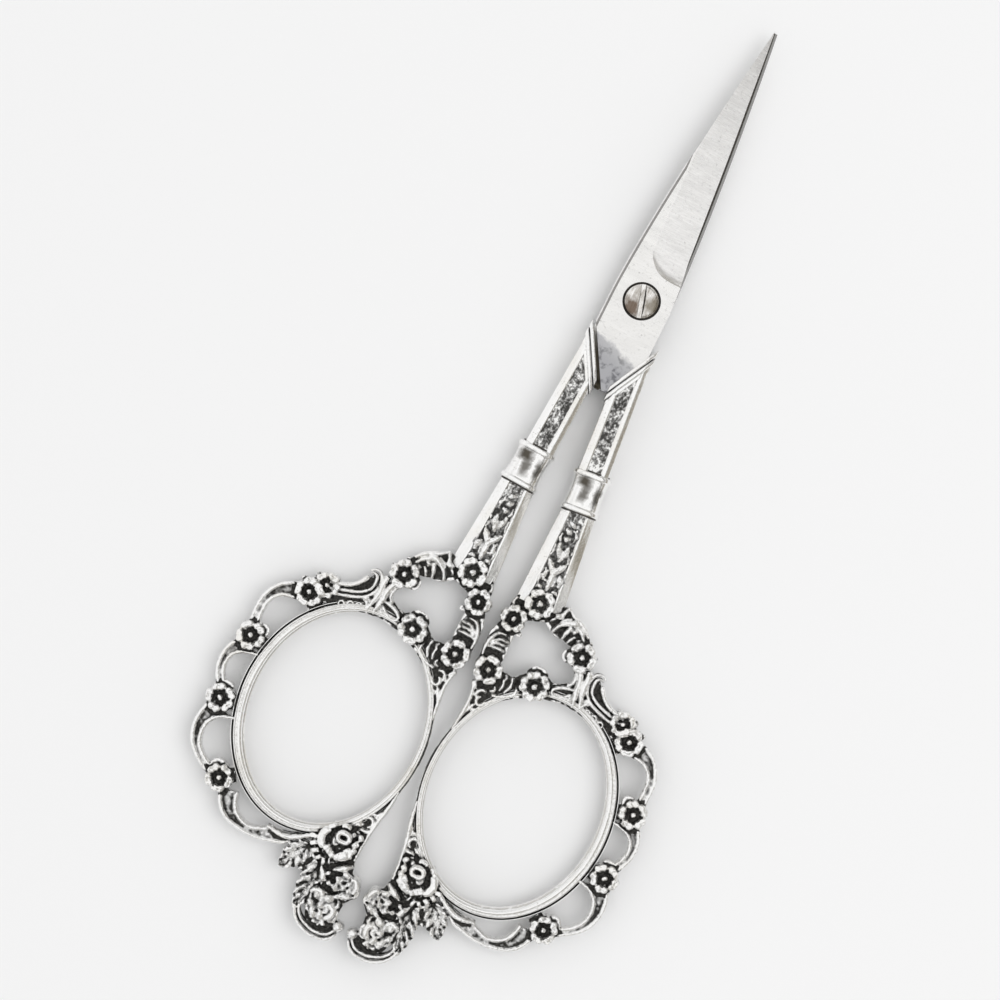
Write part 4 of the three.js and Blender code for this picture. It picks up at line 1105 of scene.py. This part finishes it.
SPRIG = [
    # curls, then pairs of leaves from the collar down, as x across the panel, y and half width
    [(-0.55, -29.1, 0.12), (-0.1, -29.35, 0.28), (0.4, -29.6, 0.12)],
    [(-0.7, -30.1, 0.12), (-0.25, -30.35, 0.28), (0.25, -30.6, 0.12)],
    [(-0.6, -31.2, 0.12), (-0.1, -31.35, 0.28), (0.35, -31.15, 0.12)],
    [(0.6, -30, 0.08), (0.85, -30.6, 0.18), (0.75, -31.4, 0.08)],
    [(-0.75, -32.1, 0.12), (-0.5, -33, 0.28), (-0.05, -33.9, 0.18)],
    [(0.6, -32, 0.12), (0.4, -33.1, 0.36), (0, -34.4, 0.18)],
    [(-1.25, -34.4, 0.14), (-0.7, -35.1, 0.28), (-0.15, -35.7, 0.26)],
    [(1.15, -34.3, 0.14), (0.6, -35.1, 0.3), (0.05, -35.8, 0.28)],
    [(-0.05, -35.6, 0.22), (-0.02, -36.6, 0.26), (0, -38.4, 0.22)],
    [(-0.5, -35.7, 0.1), (-0.95, -36.2, 0.18), (-0.95, -36.9, 0.18), (-0.5, -37.2, 0.12)],
    [(0.8, -35.9, 0.14), (1.15, -36.5, 0.32), (1.25, -37.4, 0.14)],
    [(-0.6, -38.5, 0.12), (-1, -38.1, 0.24), (-1.5, -38.4, 0.12)],
    [(0.6, -38.6, 0.12), (1, -38.2, 0.24), (1.6, -38.4, 0.12)],
    [(-1.25, -35.6, 0.1), (-0.85, -36.3, 0.16), (-1, -37.3, 0.1)],
    [(0.4, -36, 0.1), (0.6, -36.8, 0.16), (0.45, -37.7, 0.1)],
    [(1.3, -32.5, 0.08), (1.05, -33.4, 0.13), (1.25, -34.2, 0.08)],
    [(-1.2, -32.4, 0.08), (-1.15, -33.3, 0.13), (-1.35, -34, 0.08)],
    [(-1.4, -36.6, 0.1), (-1.5, -37.3, 0.14), (-1.35, -37.9, 0.08)],
    [(1.5, -35.2, 0.08), (1.6, -35.9, 0.13), (1.7, -36.6, 0.08)],
    [(0.1, -29.9, 0.08), (0.5, -30.1, 0.13), (0.75, -29.8, 0.08)],
    [(-0.9, -30.8, 0.08), (-1, -31.4, 0.12), (-0.85, -31.9, 0.08)],
]


def sprig():
    """The raised vine on the lower shank's panels, for the face and for the back."""
    made = []
    for points in SPRIG:
        ridge = []
        for across, y, half in fuller(points, 1.6):
            middle = COLLAR_FOOT.lerp(SHANK_END, (y - COLLAR_FOOT.y) / (SHANK_END.y - COLLAR_FOOT.y))
            ridge.append((middle.x + across, y, half))
        leaf = strand(ridge, 0, 1.4)
        for vertex in leaf.data.vertices:
            share = (vertex.co.y - COLLAR_FOOT.y) / (SHANK_END.y - COLLAR_FOOT.y)
            vertex.co.z += SHANK_HALF + (SHANK_END_HALF - SHANK_HALF) * share - PANEL_DEPTH
        made.append(leaf)
    face = joined(made)
    modify(face, "REMESH", mode="VOXEL", voxel_size=0.07)
    modify(face, "SMOOTH", factor=0.5, iterations=1)
    modify(crumpled(face, 0.3), "DECIMATE", ratio=0.35)
    back = copied(levelled(face))
    back.data.transform(Matrix.Scale(-1, 4, (0, 0, 1)))
    return face, outwards(back)


def rows_of(items, name):
    """A property of a mesh's points as rows of three numbers."""
    values = np.empty(len(items) * 3)
    items.foreach_get(name, values)
    return values.reshape(-1, 3)


def at_rim(flat):
    """1 for the points of a casting with some block beside theirs that has none of it, or else 0."""
    column, row = ((flat - flat.min(axis=0)) / 0.4).astype(int).T + 1
    filled = np.zeros((column.max() + 2, row.max() + 2))
    filled[column, row] = 1
    closed = filled.copy()
    for across in (-1, 0, 1):
        for along in (-1, 0, 1):
            closed = np.minimum(closed, np.roll(filled, (across, along), (0, 1)))
    return 1 - closed[column, row]


def tops_around(flat, level):
    """The highest top within half a millimetre of each point of a casting, and the mean one nearby."""
    cell, reach, close = 0.1, 5, 3
    column, row = ((flat - flat.min(axis=0)) / cell).astype(int).T + reach
    tops = np.zeros((column.max() + reach + 1, row.max() + reach + 1))
    np.maximum.at(tops, (column, row), level)
    known = (tops > 0).astype(float)
    highest, total, count = tops.copy(), tops * 0, tops * 0
    for across in range(-reach, reach + 1):
        for along in range(-reach, reach + 1):
            away = math.hypot(across, along)
            if away <= reach:
                highest = np.maximum(highest, np.roll(tops, (across, along), (0, 1)))
            if away <= close:
                total += np.roll(tops, (across, along), (0, 1))
                count += np.roll(known, (across, along), (0, 1))
    return highest[column, row], (total / np.maximum(count, 1))[column, row]


def mark_hollows(piece):
    """Stores on each point of a casting how far it lies below the tops around it, how deep it lies in a
    groove and in the dark line of the ring, and whether it is on the ground between the ridges."""
    places = rows_of(piece.data.vertices, "co")
    flat, level = places[:, :2], np.abs(places[:, 2])
    highest, mean = tops_around(flat, level)
    seen = np.clip((level - 0.4) / 0.25, 0, 1)

    def away(x, y, across, along, turn=0):
        """Distance from the middle of an oval, with 1 at its edge."""
        aside, ahead = flat[:, 0] - x, flat[:, 1] - y
        cos, sin = math.cos(math.radians(turn)), math.sin(math.radians(turn))
        return np.hypot((aside * cos + ahead * sin) / across, (ahead * cos - aside * sin) / along)

    # the tabs stay half bright, and the blossoms' stars are always dark
    bare, star = np.zeros(len(level)), np.zeros(len(level))
    for shape in TABS:
        bare = np.maximum(bare, np.clip((1 - away(*shape)) * 6, 0, 1))
    for x, y, radius, _, top, floor in BLOSSOMS:
        out = away(x, y, radius, radius)
        bare *= np.clip((out - 0.97) * 6, 0, 1)
        sunk = (top - level) / (top - floor)
        star = np.maximum(star, (out < 0.8) * np.clip((sunk - 0.42) / 0.35, 0, 1))
    plain = (1 - np.clip((level - mean - 0.02) / 0.1, 0, 1)) * (1 - 0.45 * bare)

    # the outer walls of the casting stay bright
    steep = np.clip((0.5 - np.abs(rows_of(piece.data.vertex_normals, "vector")[:, 2])) / 0.25, 0, 1)
    wall = steep * at_rim(flat)
    groove = (mean - level) * seen
    marks = {
        "hollow": np.maximum((highest - level) * seen * plain * (1 - 0.75 * wall), 0.62 * star),
        "groove": groove,
        "line": groove * np.clip((away(*RING_OUTER) - 0.945) / 0.01, 0, 1),
        "ground": np.clip(1 - np.abs(level - WEB) / 0.12, 0, 1) * plain * (1 - wall),
    }
    for name, values in marks.items():
        piece.data.attributes.new(name, "FLOAT", "POINT").data.foreach_set("value", values)
    return piece


def handle_casting():
    """One handle: shank, ring and ornament fused into one casting."""
    ring = dressed(finger_ring(), handle_finishes, RING)
    ornament = [dressed(piece, handle_finishes, ANTIQUE) for piece in (bow_ornament(), *sprig())]
    return mark_hollows(largest_part(fused(shank(), ring, *ornament)))


# ---------------------------------------------------------------- blades and screw

BLADE_LENGTH = 38.2
ROOT_HALF = 3.95
INNER_FACE = 0.05
OUTER_FACE = 1.45
ABOVE = 3  # a level clear of the blades, where the cutters end
LEAN = 1.3
TANG_IN = 0.3  # how far the blades' shoulders reach into the bolsters
BOLSTER_GAP = 0.4
BEVEL_START = 3.7
BEVEL_WIDTH = 5.15
BEVEL_SLOPE = 0.048
BEVEL_DEPTH = 1.2
RUN_OUT = [(0, 0), (0.32, 0.1), (0.6, 0.26), (0.82, 0.5), (0.95, 0.8), (1, 1.1)]  # depth, and how far ahead
BACK_END = 20.5  # where the chamfers along the back end
LAND = 0.17  # width of the chamfers along the back
HEAD_RADIUS = 2.3
HEAD_SEAT = 0.5
SEAT_RADIUS = 2.45
SHAFT_RADIUS, SHAFT_HOLE = 1.5, 1.58
THREAD_RADIUS, THREAD_HOLE = 1.25, 1.33
SLOT_TURN = 16
FLAT, GROUND, SEAT, SPINE = range(4)  # places in a blade's list of finishes
HEAD, SLOT_WALL, SLOT_FLOOR = range(3)  # places in the screw's list of finishes


def taper(tip, fullness, y):
    return tip + (ROOT_HALF - tip) * (1 - max(y / BLADE_LENGTH, 0) ** fullness)


def edge_half(y):
    return taper(0.1, 1.1, y)


def bevel_side(y):
    return edge_half(BEVEL_START) - BEVEL_WIDTH - BEVEL_SLOPE * (y - BEVEL_START)


def crossing_of(first, second, third, fourth):
    """Where the line through two points crosses the line through two others."""
    run, other = second - first, fourth - third
    share = (third - first).cross(other) / run.cross(other)
    return first + run * share


def blade(lean, front):
    """A blade blank with its ground bevel and worked back. The front blade's edge is ground a little
    further back, so that the back of the rear blade shows beside it."""
    turn = Matrix.Rotation(-math.radians(lean), 2)

    def leaning(x, y):
        return turn @ Vector((x, y))

    def worked(y):
        """The share of the chamfers at a place along the back: they end where the bevel reaches it."""
        return easing((BACK_END - y) / 3)

    def back(y):
        return taper(0.16, 1.39, y) + LAND * worked(y) if front else taper(0.34, 1.39, y)

    def cutting(y):
        return edge_half(y) - 0.2 * easing((y - BEVEL_START) / 4) if front else edge_half(y)

    def opposite(point):
        """A point of the other handle's bolster, a gap away from it."""
        point = point + BLADEWARD * BOLSTER_GAP
        return Vector((-point.x, point.y))

    rises = [BLADE_LENGTH * i / 40 for i in range(41)]
    edge = [leaning(cutting(y), y) for y in rises]
    spine = [leaning(-back(y), y) for y in reversed(rises)]
    bolster = [point - BLADEWARD * TANG_IN for point in (BOLSTER_TOP, BOLSTER_FOOT)]
    other = opposite(BOLSTER_TOP), opposite(BOLSTER_FOOT)
    shoulder = crossing_of(leaning(ROOT_HALF, 0), leaning(ROOT_HALF, 1), *bolster)
    crossing = crossing_of(leaning(-back(0), 0), leaning(-back(0), 1), *other)
    foot = crossing_of(*bolster, *other)
    outline = [shoulder, *edge, *spine, crossing, foot + Vector((-0.25, 0.5)), foot + Vector((0.35, 0.5))]
    made = dressed(plate(outline, INNER_FACE, OUTER_FACE), blade_finishes, FLAT)

    # the bevel's cutter: it starts with a hollow run-out and goes on past the tip
    def bevel_row(place, portion):
        points = []
        for share in [-0.02] + [i / 12 for i in range(13)] + [1.15]:
            y = place(BEVEL_START + 2.6 * (1 - min(max(share, 0), 1)) ** 4)
            spot = leaning(bevel_side(y) + (cutting(y) - bevel_side(y)) * share, y)
            points.append((spot.x, spot.y, OUTER_FACE + 0.01 - portion * BEVEL_DEPTH * min(share, 1)))
        return points

    rows = [bevel_row(lambda start: start + ahead, portion) for portion, ahead in RUN_OUT]
    last = RUN_OUT[-1][1]
    for i in range(1, 25):
        rows.append(bevel_row(lambda start: (start + last) * (1 - i / 24) + (BLADE_LENGTH + 1) * i / 24, 1))
    carved(made, dressed(slab(rows, ABOVE), blade_finishes, GROUND))

    def along_back(columns, finish, lift=0.0):
        """A cutter along the back, through columns of distance outwards and height. It lifts off where
        the chamfers end."""
        rows = []
        for i in range(49):
            y = -8 + (BLADE_LENGTH + 9) * i / 48
            row = []
            for out, up in columns:
                spot = leaning(-(back(y) + out), y)
                row.append((spot.x, spot.y, OUTER_FACE + up + lift * (1 - worked(y))))
            rows.append(row)
        return dressed(slab(rows, ABOVE), blade_finishes, finish)

    def turned_under(cutter):
        flip = Matrix.Scale(-1, 4, (0, 0, 1))
        cutter.data.transform(Matrix.Translation((0, 0, INNER_FACE + OUTER_FACE)) @ flip)
        return outwards(cutter)

    if front:
        # a bright steep land outside a chamfer with painted shade
        return carved(
            made, along_back([(LAND, -1.0), (0.0, -0.6), (-LAND, -0.19), (-2 * LAND, 0.22)], GROUND, 0.9),
            along_back([(0.0, -0.35), (-LAND, -0.19), (-0.47, 0.004)], SPINE, 0.45),
        )
    # a land with painted grey shade beside a painted shadow line with grime where the front blade's edge
    # rests
    return carved(
        made, turned_under(along_back([(0.1, -0.14), (0.0, -0.1), (-2 * LAND, 0.004)], SPINE)),
        turned_under(along_back([(-0.32, -0.03), (-0.58, -0.03)], SEAT)),
        along_back([(LAND, -0.29), (0.0, -0.142), (-LAND, 0.004)], SPINE),
    )


def bored(piece, radius, low):
    """Cuts a round hole about the pivot, from a low level up."""
    drum = turned([(0, low), (radius, low), (radius, ABOVE), (0, ABOVE)], 64)
    # the hole's walls get painted shade, so the screw's seat shows a dark ring round the head
    return carved(piece, dressed(drum, blade_finishes, SEAT))


def pivot_screw():
    """A slotted, low-domed head on a shaft with a threaded end."""
    seat = OUTER_FACE - HEAD_SEAT + 0.08
    rim = HEAD_RADIUS - 0.12
    profile = [(0, -1.7), (0.9, -1.7), (1.1, -1.62), (THREAD_RADIUS, -1.45)]
    for i in range(5):
        level = -1.4 + 0.28 * i
        profile += [(THREAD_RADIUS, level), (THREAD_RADIUS - 0.09, level + 0.14)]
    profile += [(THREAD_RADIUS, 0.0), (SHAFT_RADIUS, 0.0), (SHAFT_RADIUS, seat)]
    profile += [(rim - 0.08, seat), (rim, seat + 0.08)]
    for i in range(17):
        lean = math.radians(90 * i / 16)
        profile.append((rim * math.cos(lean), OUTER_FACE + 0.04 + 0.46 * math.sin(lean)))
    made = dressed(turned(profile, 72), screw_finishes, HEAD)
    # the slot's one wall leans, so that it shows from above; that wall gets painted shade
    slot = added(bpy.ops.mesh.primitive_cube_add, size=2)
    for vertex in slot.data.vertices:
        x, y, z = vertex.co
        low = z < 0
        across = (-0.36 if low else -0.56) if x < 0 else (0.16 if low else 0.66)
        vertex.co = (across + 0.08, y * 4, OUTER_FACE + (0.1 if low else 1.1))
    slot.data.transform(Matrix.Rotation(math.radians(SLOT_TURN), 4, "Z"))
    dressed(slot, screw_finishes, SLOT_WALL)
    for face in slot.data.polygons:
        if abs(face.normal.z) > 0.9:
            face.material_index = SLOT_FLOOR
    return carved(made, slot)


# ---------------------------------------------------------------- the scissors

handle_finishes = [
    antique_silver(), polished_silver("polished_silver"), shank_panel(),
    polished_silver("collar_silver", with_painted_reflections=True), polished_silver("ring_silver", grooved=True), gap_shade_and_grime(),
]
right_casting = handle_casting()
left_casting = copied(right_casting)
finished(right_casting, "right_handle_casting", "front_half", replaces="right_handle")
finished(left_casting, "left_handle_casting", "rear_half", replaces="left_handle", turn=True)

# the spine steel and the rear land carry painted shade on the back chamfers
blade_finishes = [
    blade_steel("blade_steel", 0.25, PALE_STEEL, LILAC),
    blade_steel("ground_steel", 1.0, BRIGHT_STEEL, LILAC),
    gap_shade_and_grime(), blade_steel("spine_steel", 0.5, PAINTED_SHADE_STEEL, LILAC),
]
rear_finishes = [
    blade_steel("rear_steel", 0.25, PALE_STEEL, BROWN), *blade_finishes[1:3],
    blade_steel("rear_land", 0.5, PAINTED_GREY_SHADE_STEEL, BROWN),
]
front_blade = bored(bored(blade(LEAN, True), SHAFT_HOLE, -ABOVE), SEAT_RADIUS, OUTER_FACE - HEAD_SEAT)
rear_blade = bored(blade(-LEAN, False), THREAD_HOLE, -ABOVE)
finished(front_blade, "front_blade_ground", "front_half", replaces="front_blade", smooth=12)
finished(rear_blade, "rear_blade_ground", "rear_half", replaces="rear_blade", turn=True,
         materials=rear_finishes, smooth=12)

screw_finishes = [
    screw_nickel("screw_nickel", tarnish_and_painted_reflections=True), blade_finishes[SEAT],
    screw_nickel("slot_nickel", tarnish_and_painted_reflections=False),
]
finished(pivot_screw(), "slotted_screw", "rear_half", replaces="pivot_screw",
         materials=screw_finishes, smooth=30)


# ---------------------------------------------------------------- floor, light and camera

VIEW_WIDTH = 127.24 * MM  # how much of the floor the picture spans
VIEW_MIDDLE = (-5.5 * MM, -4.3 * MM)
VIEW_DISTANCE = 0.34
VIEW_TURN = 25.24
LAMP_PLACE = Vector((0.5, 0.2, 1.15))
LAMP_SIZE = 0.8
LAMP_POWER = 3.9


def studio():
    floor = added(bpy.ops.mesh.primitive_plane_add, size=4, location=(0, 0, 0))
    floor.name = "floor"
    paper = Finish("white_paper")
    paper.feed(Base_Color=rgb(0.9, 0.9, 0.9), Roughness=0.9)
    floor.data.materials.append(paper.owner)

    # a tent of light: its lower part is bright on one side, with bands of light higher up
    world = bpy.data.worlds.new("studio")
    bpy.context.scene.world = world
    sky = Finish("studio", world)
    where = sky.node("ShaderNodeTexCoord", out="Generated")
    side = sky.node("ShaderNodeSeparateXYZ", None, {0: where}, out=X) * 0.5 + 0.5
    up = sky.node("ShaderNodeSeparateXYZ", None, {0: where}, out=Z)
    low = sky.ramp(
        side, (0.1, (0.97, 0.97, 0.97)), (0.4, (0.6, 0.6, 0.6)), (0.6, (0.36, 0.345, 0.31)),
        (0.95, (0.27, 0.245, 0.2)),
    )
    high = sky.ramp(
        up, (0.0, (0.3,)), (0.1, (0.0,)), (0.3, (0.0,)), (0.42, (0.8,)), (0.52, (0.85,)), (0.6, (0.2,)),
        (0.67, (0.2,)), (0.76, (1.0,)),
    )
    tent = sky.mix(high, low, rgb(1.0, 1.0, 1.0))
    # a dark frame round the light overhead draws the edges of the metal
    frame_side = sky.ramp(side, (0.3, (0.12,)), (0.55, (0.75,)))
    frame_up = sky.ramp(up, (0.5, (0.0,)), (0.56, (1.0,)), (0.67, (1.0,)), (0.73, (0.0,)))
    tent = sky.mix(frame_side * frame_up, tent, rgb(0.07, 0.067, 0.06))
    in_metal = sky.node("ShaderNodeLightPath", out="Is Glossy Ray")
    backdrop = sky.tree.nodes["Background"]
    sky.connect(backdrop.inputs["Color"], sky.mix(in_metal, rgb(0.82, 0.82, 0.82), tent))
    sky.connect(backdrop.inputs["Strength"], 1.0)

    lamp = bpy.data.lights.new("key", "AREA")
    lamp.size = LAMP_SIZE
    lamp.energy = LAMP_POWER
    light = bpy.data.objects.new("key", lamp)
    light.visible_glossy = False
    light.location = LAMP_PLACE
    light.rotation_euler = (-LAMP_PLACE).to_track_quat("-Z", "Y").to_euler()
    bpy.context.scene.collection.objects.link(light)


def camera():
    data = bpy.data.cameras.new("camera")
    eye = bpy.data.objects.new("camera", data)
    eye.location = (*VIEW_MIDDLE, VIEW_DISTANCE + PIVOT.z)
    eye.rotation_euler = (0, 0, math.radians(VIEW_TURN))
    data.sensor_width = 36
    data.lens = data.sensor_width * VIEW_DISTANCE / VIEW_WIDTH
    data.clip_start = 0.01
    bpy.context.scene.collection.objects.link(eye)
    bpy.context.scene.camera = eye


studio()
camera()
bpy.context.scene.view_settings.view_transform = "Standard"
